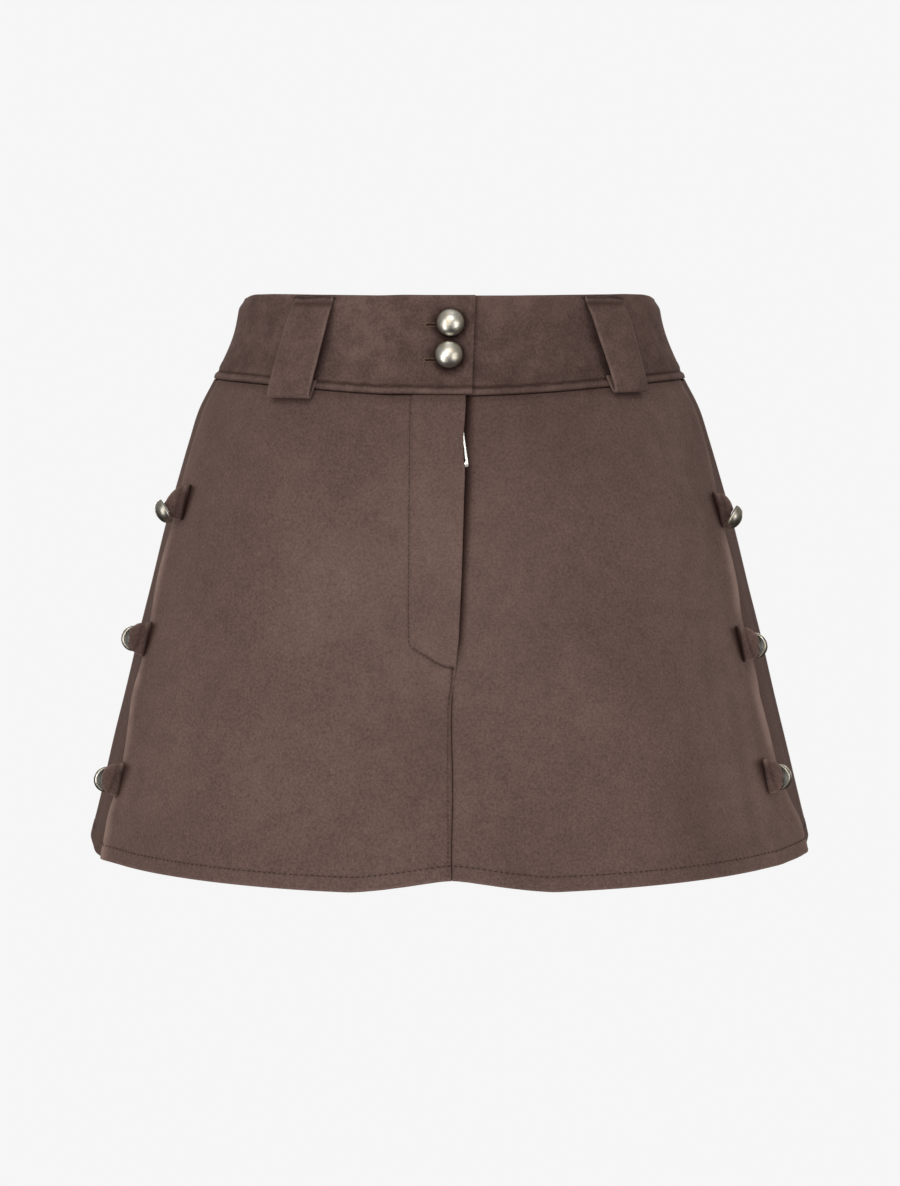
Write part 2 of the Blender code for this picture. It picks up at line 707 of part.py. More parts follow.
def build_pull():
    """The pull: a flat loop that hangs from the slider's arch, leaning to the right."""
    place, right, down, out = zip_frame(SLIDER_HEIGHT)
    tilt = math.radians(PULL_TILT)
    along = down * math.cos(tilt) + right * math.sin(tilt)
    across = right * math.cos(tilt) - down * math.sin(tilt)
    pivot = place + out * PULL_PIVOT
    tip_drop = 0.35  # the tip lies nearer the cloth than the pivot does
    face = unit(out + along * (tip_drop / PULL_LONG))
    along = unit(along - face * np.dot(along, face))
    body = box_between(
        "zip_pull", pivot + along * (PULL_LONG / 2 - PULL_THICK / 2), (across, -along, face),
        (PULL_WIDTH, PULL_LONG, PULL_THICK),
    )  # fmt: skip
    keep_in(body, "suede_skort", ZIP_METAL)
    rounding = body.modifiers.new("rounding", "BEVEL")
    rounding.width = 0.0012
    rounding.segments = 2
    rounding.affect = "EDGES"
    rounding.limit_method = "WEIGHT"
    weights = body.data.attributes.new("bevel_weight_edge", "FLOAT", "EDGE")
    for index, edge in enumerate(body.data.edges):
        a, b = (body.data.vertices[v].co for v in edge.vertices)
        weights.data[index].value = 1.0 if abs((a - b).z) > 1e-5 else 0.0
    rail = 1.3
    for name, start, end in (("eye", 0.55, 4.6), ("window", 6.2, PULL_LONG - 3.0)):
        hole = box_between(
            "pull_" + name, pivot + along * ((start + end) / 2), (across, -along, face),
            (PULL_WIDTH - 2 * rail, end - start, 4.0),
        )  # fmt: skip
        keep_in(hole, "cutters")
        cut(body, hole)


# ------------------------------------------------------------------ inner shorts
def shorts_row(row):
    """One ring of a leg: the outer half follows the skirt, the inner half makes the inside leg."""
    z, side_inset, depth_inset, foremost, inner = row
    half_width, front, behind = section(z)
    ring = []
    for step in range(SHORTS_COLUMNS):
        degrees = 360 * step / SHORTS_COLUMNS
        turn = math.radians(degrees)
        depth = (front if math.cos(turn) > 0 else behind) - depth_inset
        reach = (half_width - side_inset - foremost) if math.sin(turn) >= 0 else inner
        dip = seam_height(min(degrees, 360 - degrees)) + BAND_DEPTH
        height = z + dip * (1 - ease(-z, 60.0, 110.0))
        ring.append(np.array([foremost + reach * math.sin(turn), -depth * math.cos(turn), height]))
    return ring


def build_shorts():
    rings = [shorts_row(row) for row in SHORTS]
    for side, sign in (("l", -1), ("r", 1)):
        points = [point * (sign, 1, 1) for ring in rings for point in ring]
        faces = []
        for r in range(len(rings) - 1):
            for c in range(SHORTS_COLUMNS):
                a, b = r * SHORTS_COLUMNS + c, r * SHORTS_COLUMNS + (c + 1) % SHORTS_COLUMNS
                face = (a, a + SHORTS_COLUMNS, b + SHORTS_COLUMNS, b)
                faces.append(face if sign > 0 else face[::-1])
        leg = add_object("shorts_" + side, points, faces, JERSEY)
        wall = leg.modifiers.new("wall", "SOLIDIFY")
        wall.thickness = SHORTS_CLOTH / 1000
        wall.offset = -1.0
        far_side = box_between(
            "beyond_the_middle_" + side, (sign * (GAP / 2 - 150), 0, -180), np.eye(3), (300.0, 600.0, 500.0)
        )
        keep_in(far_side, "cutters")
        cut(leg, far_side)


def main():
    clear_scene()
    panels = build_front_panels()
    build_back_panels()
    build_waistband()
    build_belt_loops()
    build_front_buttons()
    build_side_closures(panels)
    build_zip_chain()
    build_slider()
    build_pull()
    build_shorts()


main()
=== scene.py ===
# %% [markdown]
# # A suede skort, filled out as if someone wore it
#
# A skort is a short skirt with shorts inside. This one is A-line: narrow at the waist, wide at the hem.
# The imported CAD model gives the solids, the mounts and the moving zip pull. This lesson dresses it: each
# solid of cloth is stood for by a fine, thin shell with its folds, edges and stitches, and the metal gets
# turned and polished shapes. Every length is in millimetres until a mesh is made.

# %% Load the frame
import math

import bmesh
import bpy
import numpy as np
from mathutils import Matrix, Vector


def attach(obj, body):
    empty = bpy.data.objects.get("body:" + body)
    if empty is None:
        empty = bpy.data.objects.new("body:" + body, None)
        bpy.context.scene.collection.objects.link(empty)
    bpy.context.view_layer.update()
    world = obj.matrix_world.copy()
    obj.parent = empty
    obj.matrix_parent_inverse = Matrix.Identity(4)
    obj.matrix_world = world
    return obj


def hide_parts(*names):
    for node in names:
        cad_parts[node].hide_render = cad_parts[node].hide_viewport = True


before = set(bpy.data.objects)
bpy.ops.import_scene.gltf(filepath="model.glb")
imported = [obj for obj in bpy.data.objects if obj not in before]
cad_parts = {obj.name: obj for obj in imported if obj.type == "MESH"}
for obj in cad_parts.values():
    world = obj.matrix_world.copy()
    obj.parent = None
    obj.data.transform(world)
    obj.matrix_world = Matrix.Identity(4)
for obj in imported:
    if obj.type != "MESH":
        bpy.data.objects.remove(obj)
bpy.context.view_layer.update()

MM = 0.001
GARMENT, PULL = "garment", "pull"

# %% [markdown]
# ## Colours and nodes
#
# Colours are written as sRGB hex, as a colour picker gives them, and turned to the linear numbers that
# shaders want. One small function adds any node to any tree: settings are the node's own properties, and
# an input is a value, another node's output, or a node, which stands for its first output. A number that
# is the same all over a surface is set on the shader's own socket.


# %% Small tools for materials
def linear(hex_colour):
    """An sRGB hex colour as the linear RGBA that a shader takes."""
    found = []
    for start in (1, 3, 5):
        share = int(hex_colour[start : start + 2], 16) / 255
        found.append(share / 12.92 if share <= 0.04045 else ((share + 0.055) / 1.055) ** 2.4)
    return (*found, 1.0)


def add_node(tree, kind, inputs=None, **settings):
    """Adds a node with its settings. An input is a value, a socket, or a node, for its first output."""
    node = tree.nodes.new(kind)
    for name, value in settings.items():
        setattr(node, name, value)
    for name, value in (inputs or {}).items():
        if isinstance(value, bpy.types.Node):
            value = value.outputs[0]
        if isinstance(value, bpy.types.NodeSocket):
            tree.links.new(value, node.inputs[name])
        else:
            node.inputs[name].default_value = value
    return node


def new_material(name, roughness, metallic=0.0, specular=None):
    """A material with its Principled shader's constants set on the shader's own sockets."""
    made = bpy.data.materials.new(name)
    made.use_nodes = True
    shader = made.node_tree.nodes["Principled BSDF"]
    shader.inputs["Roughness"].default_value = roughness
    shader.inputs["Metallic"].default_value = metallic
    if specular is not None:
        shader.inputs["Specular IOR Level"].default_value = specular
    return made, made.node_tree, shader

# %% [markdown]
# ## Suede
#
# Suede is the brushed flesh side of leather, or a microfibre cloth made to look like it: a dense nap of
# short fibres. Hands brush the nap this way and that, so it shows soft blotches of 40 to 80 mm, with a
# finer cloud of about 10 mm inside them and a grain of about 1 mm. It has no gloss, but its fibre tips
# catch light at a low angle, which is what the shader's sheen is for. Three attributes of the mesh change
# the colour. One is paler: partly wear on edges that hands rub, partly a painted highlight on rolled
# edges, folds and ridges. One is darker: partly nap that seams flatten, partly painted shade and shadow in
# grooves and gaps and under or beside what stands proud. The third, `brushed`, makes the clouds stronger,
# as on the band, which is cut across the skin.

# %% Suede material
SUEDE_DARK, SUEDE_MID, SUEDE_LIGHT = "#4E3E3A", "#5F4C47", "#6E5953"
# The paler colour is partly wear and partly painted highlight; the darker colour is partly nap flattened by
# seams and partly painted shade and shadow.
WEAR_AND_HIGHLIGHT, SHADE_AND_PRESSED = "#967F76", "#2E1E19"


def make_suede():
    """Three sizes of noise choose between three tones, and the attributes lighten or darken the result."""
    suede, tree, shader = new_material("brushed_suede_taupe", 0.92, specular=0.03)
    shader.inputs["Sheen Weight"].default_value = 0.09
    shader.inputs["Sheen Roughness"].default_value = 0.55
    shader.inputs["Sheen Tint"].default_value = linear("#C9A89A")
    place = add_node(tree, "ShaderNodeTexCoord").outputs["Object"]
    # sizes in mm; real fibres are finer than the last, which is the finest that shows
    blotches, clouds, grain = (
        add_node(tree, "ShaderNodeTexNoise",
                 {"Vector": place, "Scale": 1000.0 / size, "Detail": 3.0, "Roughness": roughness})
        for size, roughness in ((85.0, 0.5), (11.0, 0.6), (1.4, 0.75))
    )  # fmt: skip
    rub, pressed, brushed = (
        add_node(tree, "ShaderNodeAttribute", attribute_name=name).outputs["Fac"]
        for name in ("rub", "pressed", "brushed")
    )
    share = add_node(tree, "ShaderNodeMapRange", {"Value": brushed, "To Min": 0.14, "To Max": 0.48})
    tone = add_node(tree, "ShaderNodeMath", {0: clouds, 1: 0.5}, operation="SUBTRACT")
    tone = add_node(tree, "ShaderNodeMath", {0: tone, 1: share}, operation="MULTIPLY")
    tone = add_node(tree, "ShaderNodeMath", {0: blotches, 1: 0.3, 2: tone}, operation="MULTIPLY_ADD")
    tone = add_node(tree, "ShaderNodeMath", {0: grain, 1: 0.7, 2: tone}, operation="MULTIPLY_ADD")
    colour = linear(SUEDE_DARK)
    for low, high, lighter in ((0.35, 0.5, SUEDE_MID), (0.5, 0.65, SUEDE_LIGHT)):
        share = add_node(tree, "ShaderNodeMapRange", {"Value": tone, "From Min": low, "From Max": high})
        inputs = {0: share, 6: colour, 7: linear(lighter)}
        colour = add_node(tree, "ShaderNodeMix", inputs, data_type="RGBA").outputs[2]
    span = {"Value": clouds, "From Min": 0.3, "From Max": 0.7, "To Min": 0.6}
    patchy = add_node(tree, "ShaderNodeMapRange", span)
    rub = add_node(tree, "ShaderNodeMath", {0: rub, 1: patchy}, operation="MULTIPLY")
    # Paler where worn or where highlight is painted, darker where the nap lies flat or where shade is
    # painted.
    for share, nap_and_painted_light in ((rub, WEAR_AND_HIGHLIGHT), (pressed, SHADE_AND_PRESSED)):
        inputs = {0: share, 6: colour, 7: linear(nap_and_painted_light)}
        colour = add_node(tree, "ShaderNodeMix", inputs, data_type="RGBA").outputs[2]
    tree.links.new(colour, shader.inputs["Base Color"])
    soft = add_node(tree, "ShaderNodeBump", {"Height": clouds, "Distance": 0.25 * MM, "Strength": 0.3})
    fine = add_node(tree, "ShaderNodeBump",
                    {"Height": grain, "Distance": 0.2 * MM, "Strength": 0.7, "Normal": soft})
    tree.links.new(fine.outputs[0], shader.inputs["Normal"])
    return suede


SUEDE = make_suede()
print("made", SUEDE.name)

# %% [markdown]
# ## Metal, thread, tape and jersey
#
# The dome buttons are cast or pressed brass plated in antique silver: bright where polished, darker and
# warmer where the plating was toned, and dark towards the rim, partly toning and partly a painted dark
# reflection and shade. A metal needs no painted highlights: it shows the studio around it.
# The zip's slider and teeth are plated nickel. Its tape is woven polyester, the sewing thread is a matt
# brown polyester twist, and the hidden shorts are a fine brown jersey.


# %% Antique silver and nickel
# The dark colour at a dome's rim: partly toning, partly a painted dark reflection and shade.
PATINA_AND_RIM_SHADE = "#1D1A18"


def make_metal(name, bright, toned, roughness):
    """Plated metal, smeared between two tones. An attribute darkens it towards the dark rim colour: toning,
    and a painted dark reflection and shade round a dome's rim.
    """
    metal, tree, shader = new_material(name, roughness, 1.0)
    place = add_node(tree, "ShaderNodeTexCoord").outputs["Object"]
    smears, specks = (
        add_node(tree, "ShaderNodeTexNoise",
                 {"Vector": place, "Scale": 1000.0 / size, "Detail": 3.0, "Roughness": 0.6})
        for size in (5.0, 0.5)
    )  # fmt: skip
    share = add_node(tree, "ShaderNodeMapRange", {"Value": smears, "From Min": 0.35, "From Max": 0.7})
    patina_and_rim_shade = add_node(tree, "ShaderNodeAttribute", attribute_name="patina_and_rim_shade").outputs["Fac"]
    colour = linear(bright)
    for share, tone in ((share, toned), (patina_and_rim_shade, PATINA_AND_RIM_SHADE)):
        inputs = {0: share, 6: colour, 7: linear(tone)}
        colour = add_node(tree, "ShaderNodeMix", inputs, data_type="RGBA").outputs[2]
    tree.links.new(colour, shader.inputs["Base Color"])
    span = {"Value": smears, "From Min": 0.3, "From Max": 0.7,
            "To Min": roughness * 0.8, "To Max": roughness * 1.3}  # fmt: skip
    tree.links.new(add_node(tree, "ShaderNodeMapRange", span).outputs[0], shader.inputs["Roughness"])
    fine = add_node(tree, "ShaderNodeBump", {"Height": specks, "Distance": 0.01 * MM, "Strength": 0.25})
    tree.links.new(fine.outputs[0], shader.inputs["Normal"])
    return metal


SILVER = make_metal("antique_silver_plate", "#E0DDD5", "#B8AB92", 0.36)
TONED = make_metal("toned_silver_back", "#DEDED8", "#B4B4AC", 0.6)
NICKEL = make_metal("plated_nickel", "#D6D4CF", "#BDB9B0", 0.24)
print("made", SILVER.name, TONED.name, NICKEL.name)


# %% Thread, zip tape and jersey
def make_thread(name, colour, light):
    """Spun thread: its twist is finer than a pixel, so it shows as flecks of 0.6 mm."""
    thread, tree, shader = new_material(name, 0.8, specular=0.25)
    place = add_node(tree, "ShaderNodeTexCoord").outputs["Object"]
    size = {"Vector": place, "Scale": 1000.0 / 0.6, "Roughness": 0.6}
    ply = add_node(tree, "ShaderNodeTexNoise", size)
    inputs = {0: ply, 6: linear(colour), 7: linear(light)}
    mixed = add_node(tree, "ShaderNodeMix", inputs, data_type="RGBA")
    tree.links.new(mixed.outputs[2], shader.inputs["Base Color"])
    fine = add_node(tree, "ShaderNodeBump", {"Height": ply, "Distance": 0.08 * MM, "Strength": 0.6})
    tree.links.new(fine.outputs[0], shader.inputs["Normal"])
    return thread


def make_woven(name, dark, light, thread_mm, rib_share):
    """A cloth of yarns that cross: two waves over its UV map, which is in metres."""
    cloth, tree, shader = new_material(name, 0.88, specular=0.2)
    place = add_node(tree, "ShaderNodeUVMap", uv_map="cloth").outputs["UV"]
    across, along = (
        add_node(tree, "ShaderNodeTexWave", {"Vector": place, "Scale": 1000.0 / (math.pi * thread_mm),
                                             "Distortion": 0.15}, bands_direction=axis).outputs["Fac"]
        for axis in ("X", "Y")
    )  # fmt: skip
    yarns = add_node(tree, "ShaderNodeMath", {0: along, 1: 1 - rib_share}, operation="MULTIPLY")
    yarns = add_node(tree, "ShaderNodeMath", {0: across, 1: rib_share, 2: yarns}, operation="MULTIPLY_ADD")
    place = add_node(tree, "ShaderNodeTexCoord").outputs["Object"]
    mottle = add_node(tree, "ShaderNodeTexNoise", {"Vector": place, "Scale": 1000.0 / 14.0})
    share = add_node(tree, "ShaderNodeMath", {0: yarns, 1: mottle}, operation="ADD")
    share = add_node(tree, "ShaderNodeMath", {0: share, 1: 0.5}, operation="MULTIPLY")
    inputs = {0: share, 6: linear(dark), 7: linear(light)}
    mixed = add_node(tree, "ShaderNodeMix", inputs, data_type="RGBA")
    tree.links.new(mixed.outputs[2], shader.inputs["Base Color"])
    fine = add_node(tree, "ShaderNodeBump", {"Height": yarns, "Distance": 0.12 * MM, "Strength": 0.7})
    tree.links.new(fine.outputs[0], shader.inputs["Normal"])
    return cloth


THREAD = make_thread("brown_polyester_thread", "#2C201D", "#4A3833")
HOLE_THREAD = make_thread("buttonhole_thread", "#3A2B23", "#8A7460")
TAPE = make_woven("woven_zip_tape", "#3A2B27", "#55423C", 0.7, 0.35)
JERSEY = make_woven("brown_jersey", "#48362F", "#64504A", 0.9, 0.75)
print("materials:", len(bpy.data.materials))

# %% [markdown]
# ## The body of the garment as one surface
#
# A pattern cutter sees a skirt as a sleeve round the body: at each height it has a half width and a depth
# in front and behind. Smooth curves through a short table of such sections give a surface. A place on it
# is an angle round from the centre front and a height, and every piece of cloth is some area of that
# surface, lifted off it by its own small amount. The tables are the ones that the solids follow.

# %% Sections of the figure
# height, half width, depth in front, depth behind
BODY = (
    (0.0, 127.3, 95.0, 98.0), (-24.0, 132.0, 99.0, 102.5), (-52.0, 144.6, 105.4, 110.8),
    (-69.0, 153.4, 110.0, 119.0), (-89.0, 160.1, 116.5, 127.5), (-127.0, 171.3, 127.5, 139.0),
    (-199.0, 189.8, 143.0, 150.0), (-269.0, 207.2, 156.5, 160.0), (-342.0, 224.9, 170.3, 171.3),
)  # fmt: skip
LENGTH, BAND_DEPTH, GAP = 342.0, 51.6, 0.3
PANEL_LONG = 290.0  # about, from the waist seam to the hem
CENTRE_SEAM = 1.5


def column_at(rows, column, key):
    """One column of a table, by smooth curves that never overshoot its rows."""
    table = np.array(sorted(rows), float)
    keys, values = table[:, 0], table[:, column]
    steps = np.diff(values) / np.diff(keys)
    before, after = np.r_[steps[0], steps], np.r_[steps, steps[-1]]
    limit = 2 * np.minimum(abs(before), abs(after))
    slopes = np.where(before * after > 0, np.clip(np.gradient(values, keys), -limit, limit), 0.0)
    key = np.clip(key, keys[0], keys[-1])
    row = np.clip(np.searchsorted(keys, key), 1, len(keys) - 1)
    span = keys[row] - keys[row - 1]
    part = (key - keys[row - 1]) / span
    rise = part**2 * (3 - 2 * part)
    bend = part * (1 - part) * span
    return (
        values[row - 1] * (1 - rise) + values[row] * rise
        + bend * ((1 - part) * slopes[row - 1] - part * slopes[row])
    )  # fmt: skip


def unit(vectors):
    """The same directions, 1 long."""
    return vectors / np.linalg.norm(vectors, axis=-1, keepdims=True)


def base_point(angle, z):
    """The place on the surface at an angle from the centre front and a height."""
    angle, z = np.broadcast_arrays(np.asarray(angle, float), np.asarray(z, float))
    turn = np.radians(angle)
    depth = np.where(np.cos(turn) > 0, column_at(BODY, 2, z), column_at(BODY, 3, z))
    return np.stack([column_at(BODY, 1, z) * np.sin(turn), -depth * np.cos(turn), z], -1)


def outward(angle, z):
    """The direction square to the surface."""
    along = base_point(angle + 0.2, z) - base_point(angle - 0.2, z)
    up = base_point(angle, z + 0.5) - base_point(angle, z - 0.5)
    return unit(np.cross(along, up))


def skin(angle, z, out=0.0):
    """Points `out` mm off the surface."""
    return base_point(angle, z) + np.asarray(out)[..., None] * outward(angle, z)


def angle_of_x(x, z, behind=False):
    """The angle whose place on the surface is x mm to the right."""
    angle = np.degrees(np.arcsin(x / column_at(BODY, 1, z)))
    return 180.0 - angle if behind else angle


def ease(value, start, end):
    """0 up to start and 1 from end on, smoothly."""
    part = np.clip((value - start) / (end - start), 0.0, 1.0)
    return part * part * (3 - 2 * part)


def near(distance, half_width):
    """1 at a line and 0 from half_width away, smoothly."""
    return np.where(abs(distance) < half_width, (1 + np.cos(np.pi * distance / half_width)) / 2, 0.0)


def line_of(distance, half_width=0.9):
    """1 at a line, fading on both sides of it without an edge."""
    return np.exp(-((distance / half_width) ** 2))


print("waist", round(2 * float(column_at(BODY, 1, 0.0))), "mm wide; hem", round(2 * BODY[-1][1]), "mm wide")

# %% [markdown]
# ## Where the pieces end
#
# The waist seam dips at the centre front, the band's top edge follows it a little, and the hem has a soft
# notch where the two fronts meet and a round corner at each side. The fronts' free side edges wander,
# because they are held to the back only by three closures a side and hang loose between them.


# %% Seam, hem and edges
HEM_CORNER, CORNER_REACH = 8.0, 0.97
NOTCH_HIGH, NOTCH_HALF, NOTCH_ROUND = 8.9, 60.0, 8.0
FRONT_CORNERS = ((4.0, 1.5), (8.0, 1.5))  # long, high; left, right
HEM_ARC = 3.4  # mm of cloth in a degree at the hem's corners


def seam_height(angle):
    """The waist seam, which dips at the centre front."""
    return -BAND_DEPTH - 8.6 * np.exp(-((angle / 44.0) ** 2))


def band_top(angle):
    """The band's top fold: it dips at the centre front and drops a little where it turns at the sides."""
    corner = np.clip((abs(np.sin(np.radians(angle))) - 0.92) / 0.08, 0, 1)
    return -2.0 * np.exp(-((angle / 50.0) ** 2)) - 2.6 * corner**2


def hem_height(angle):
    """The hem: flat, with a notch at the centre front, and rising in a round corner at each side."""
    sideways = np.sin(np.radians(angle))
    half_hem = BODY[-1][1]
    from_seam = np.hypot(half_hem * sideways - CENTRE_SEAM, NOTCH_ROUND)
    notch = np.clip(1 - from_seam / NOTCH_HALF, 0, 1) * (abs(angle) < 90)
    corner = CORNER_REACH * np.clip(1 - half_hem * (1 - abs(sideways)) / HEM_CORNER, 0, 1)
    return -LENGTH + 1.8 * sideways**2 + NOTCH_HIGH * notch**1.3 + HEM_CORNER * (1 - np.sqrt(1 - corner**2))


def front_hem(angle, side):
    """The hem of a front, left (1) or right (2), with its own small round corner."""
    long, high = FRONT_CORNERS[side - 1]
    corner = np.clip(1 - (column_at(SIDE_EDGE, side, -340.0) - abs(angle)) * HEM_ARC / long, 0, 1)
    return hem_height(angle) + high * (1 - np.sqrt(1 - corner**2))


def below_seam(angle):
    """Where the panels start, a gap below the waist seam."""
    return seam_height(angle) - GAP


# height, left edge, right edge, in degrees from the centre front
SIDE_EDGE = (
    (-52.0, 77.0, 76.0), (-94.0, 76.3, 76.0), (-116.0, 75.2, 73.6), (-129.0, 74.4, 72.6),
    (-153.0, 73.8, 70.7), (-172.0, 73.4, 70.0), (-193.0, 73.2, 69.3), (-210.0, 73.8, 69.6),
    (-222.0, 72.6, 70.0), (-244.0, 71.8, 68.2), (-257.0, 70.6, 68.5), (-275.0, 69.8, 69.6),
    (-301.0, 70.1, 72.1), (-311.0, 70.3, 74.0), (-320.0, 70.0, 76.6), (-342.0, 68.6, 78.4),
)  # fmt: skip
# height, how far the left and the right edge billow
BILLOW = (
    (-52.0, 0.0, 0.0), (-94.0, 0.3, 0.3), (-129.0, 0.4, 0.4), (-171.0, 1.6, 2.0), (-210.0, 0.5, 0.4),
    (-251.0, 2.4, 2.4), (-293.0, 0.5, 0.4), (-321.0, 2.2, 1.0), (-342.0, 2.2, 0.6),
)  # fmt: skip
# height, left front's inner edge, right front's inner edge, how far the fly stands off
CENTRE_FRONT = (
    (-52.0, 9.1, 7.6, 3.0), (-65.0, 9.2, 7.6, 4.4), (-76.0, 8.6, 7.4, 5.8), (-87.0, 7.8, 7.2, 6.2),
    (-96.0, 8.0, 7.1, 6.4), (-104.0, 8.7, 7.1, 6.2),
    (-121.0, 8.2, 6.9, 5.2), (-149.0, 7.4, 6.7, 3.4), (-176.0, 6.4, 6.5, 2.6), (-184.0, 6.0, 5.0, 2.4),
    (-201.0, 5.1, 3.9, 2.0), (-211.0, 4.1, 3.3, 1.6), (-222.0, 2.9, 2.7, 0.7), (-235.0, 1.5, 1.52, 0.0),
    (-342.0, 1.5, 1.52, 0.0),
)  # fmt: skip
FLY_RISE = (-36.0, -14.0)
UNDERLAP = 2.0
BACK_MARGIN = 58.0
print("hem at the centre front:", round(float(hem_height(0.0)), 1), "mm")

# %% [markdown]
# ## Folds
#
# Worn cloth is never a plain cone. From the hips it falls in long, soft folds that widen towards the hem,
# and drag lines run from the waist seam and the closures. The broad folds are the solids' own. The finer
# creases are given as strokes from one place to another, each with a width and a height, some
# raised and some sunk, none alike. A low undulation of seeded waves keeps what is between them from
# looking machined. All pieces that lie on each other read the same function, so none cuts another.

# %% Broad folds and fine creases
# angle, top, bottom, half width in degrees, height at the bottom
FOLDS = (
    (-65.5, -109.0, -342.0, 5.0, 1.6), (61.0, -109.0, -342.0, 5.0, 2.0),
    (-27.0, -215.0, -342.0, 12.0, 1.4), (31.0, -190.0, -342.0, 14.0, 1.6),
    (112.0, -150.0, -342.0, 13.0, 4.0), (150.0, -120.0, -342.0, 12.0, 5.5),
    (-118.0, -165.0, -342.0, 14.0, 4.5), (-156.0, -135.0, -342.0, 11.0, 5.0),
)  # fmt: skip
# angle and height where it starts, angle and height where it ends, half width in mm, height in mm
CREASES = (
    (-58, -66, -52, -140, 9, 0.7), (-40, -64, -44, -110, 7, -0.5), (48, -64, 55, -135, 9, 0.7),
    (27, -66, 24, -120, 8, -0.5), (-31, -120, -24, -230, 13, 0.7), (-47, -190, -50, -330, 12, -0.9),
    (18, -215, 15, -335, 11, 0.7), (44, -170, 47, -330, 12, -0.9), (-10, -235, -13, -338, 9, -0.6),
    (-20, -90, -12, -170, 10, 0.5), (15, -75, 22, -140, 9, 0.5), (-62, -225, -58, -338, 8, 0.8),
    (56, -215, 53, -338, 8, 0.9), (95, -66, 102, -160, 10, 0.8), (124, -64, 128, -150, 9, -0.8),
    (132, -170, 130, -338, 13, -1.5), (166, -90, 164, -335, 12, 1.6), (178, -66, 176, -180, 9, -0.9),
    (-98, -66, -104, -170, 10, 0.9), (-128, -64, -134, -190, 9, -0.9), (-138, -200, -137, -338, 13, -1.6),
    (-172, -120, -171, -338, 11, 1.4), (-147, -64, -150, -130, 8, 0.8), (142, -70, 145, -125, 8, 0.7),
    (104, -230, 100, -338, 10, -1.3), (-106, -240, -103, -338, 10, -1.2),
    (-13, -328, -4, -290, 8, 1.2), (4, -292, 15, -330, 9, -1.2), (-6, -262, -16, -300, 9, -0.8),
)  # fmt: skip
ARC_PER_DEGREE = 2.9  # mm of cloth in a degree, near enough to give a stroke its width


def folds(angle, z):
    """The broad folds, each growing from its top to the hem."""
    total = 0.0
    for middle, top, bottom, half_width, height in FOLDS:
        total = total + height * near(angle - middle, half_width) * ease(-z, -top, -bottom)
    return total


def creases(angle, z):
    """The strokes of CREASES, fading at both ends."""
    total = 0.0
    for start_angle, start_z, end_angle, end_z, half_width, height in CREASES:
        run = np.array([(end_angle - start_angle) * ARC_PER_DEGREE, end_z - start_z])
        across, down = (angle - start_angle) * ARC_PER_DEGREE, z - start_z
        share = np.clip((across * run[0] + down * run[1]) / (run @ run), 0, 1)
        off = np.hypot(across - share * run[0], down - share * run[1])
        fade = ease(share, 0.0, 0.3) * (1 - 0.7 * ease(share, 0.75, 1.0))
        total = total + height * fade * near(off, half_width * (1 + 0.5 * share))
    return total


def undulation(angle, z):
    """Waves of 40 to 120 mm in all directions, about 0.3 mm high."""
    chance = np.random.default_rng(11)
    total = 0.0
    for _ in range(14):
        heading, wave, start = chance.uniform(0, math.pi), chance.uniform(40, 120), chance.uniform(0, 6.28)
        across, down = angle * ARC_PER_DEGREE * math.cos(heading), z * math.sin(heading)
        total = total + np.sin((across + down) * 2 * math.pi / wave + start)
    return total * 0.075


def below_waist(z):
    """0 at the waist seam, which holds the cloth flat, and 1 from a hand's breadth below it."""
    return ease(-z, 58.0, 80.0)


def drape(angle, z):
    """Everything that the hanging cloth does by itself; it starts below the waist seam."""
    return folds(angle, z) + (creases(angle, z) + undulation(angle, z)) * below_waist(z)


def fold_height():
    angles, heights = np.meshgrid(np.linspace(-180, 180, 361), np.linspace(-340, -60, 141))
    found = drape(angles, heights)
    return round(float(found.min()), 1), round(float(found.max()), 1)


print("the drape runs from and to (mm):", fold_height())

# %% [markdown]
# ## From a surface to a piece of cloth
#
# A piece is a grid of points, fine enough for its folds and finer near seams. `shares` spaces the lines of
# the grid: a base step, and closer steps near the places that need them.


# %% Grids and meshes
def shares(length, step, finer=()):
    """Places from 0 to 1 along `length` mm, `step` apart, closer near each (place in mm, reach, step)."""
    sample = np.linspace(0, length, 3000)
    density = np.full(len(sample), 1 / step)
    for place, reach, fine_step in finer:
        density = np.maximum(density, 1 / step + (1 / fine_step - 1 / step) * near(sample - place, reach))
    count = np.concatenate([[0], np.cumsum((density[1:] + density[:-1]) / 2 * np.diff(sample))])
    whole = max(2, round(count[-1]))
    return np.interp(np.linspace(0, count[-1], whole + 1), count, sample) / length


def panel(left_edge, right_edge, top, bottom, across, down):
    """Angles and heights of a piece. Edges give an angle at a height; top and bottom the reverse."""
    down = np.asarray(down)[:, None]
    edges = []
    for edge in (left_edge, right_edge):
        angle = edge(np.full(down.shape, -200.0))
        for _ in range(3):
            angle = edge(top(angle) + (bottom(angle) - top(angle)) * down)
        edges.append(angle)
    angle = edges[0] + (edges[1] - edges[0]) * np.asarray(across)[None, :]
    return angle, top(angle) + (bottom(angle) - top(angle)) * down


def lengths_along(grid, axis):
    """The cloth's length up to each point, along its columns (0) or its rows (1)."""
    steps = np.linalg.norm(np.diff(grid, axis=axis), axis=-1)
    pad = [(0, 0), (0, 0)]
    pad[axis] = (1, 0)
    return np.cumsum(np.pad(steps, pad), axis=axis)


def add_object(name, data):
    """Puts a mesh, curve, light or camera into the scene."""
    made = bpy.data.objects.new(name, data)
    bpy.context.scene.collection.objects.link(made)
    return made


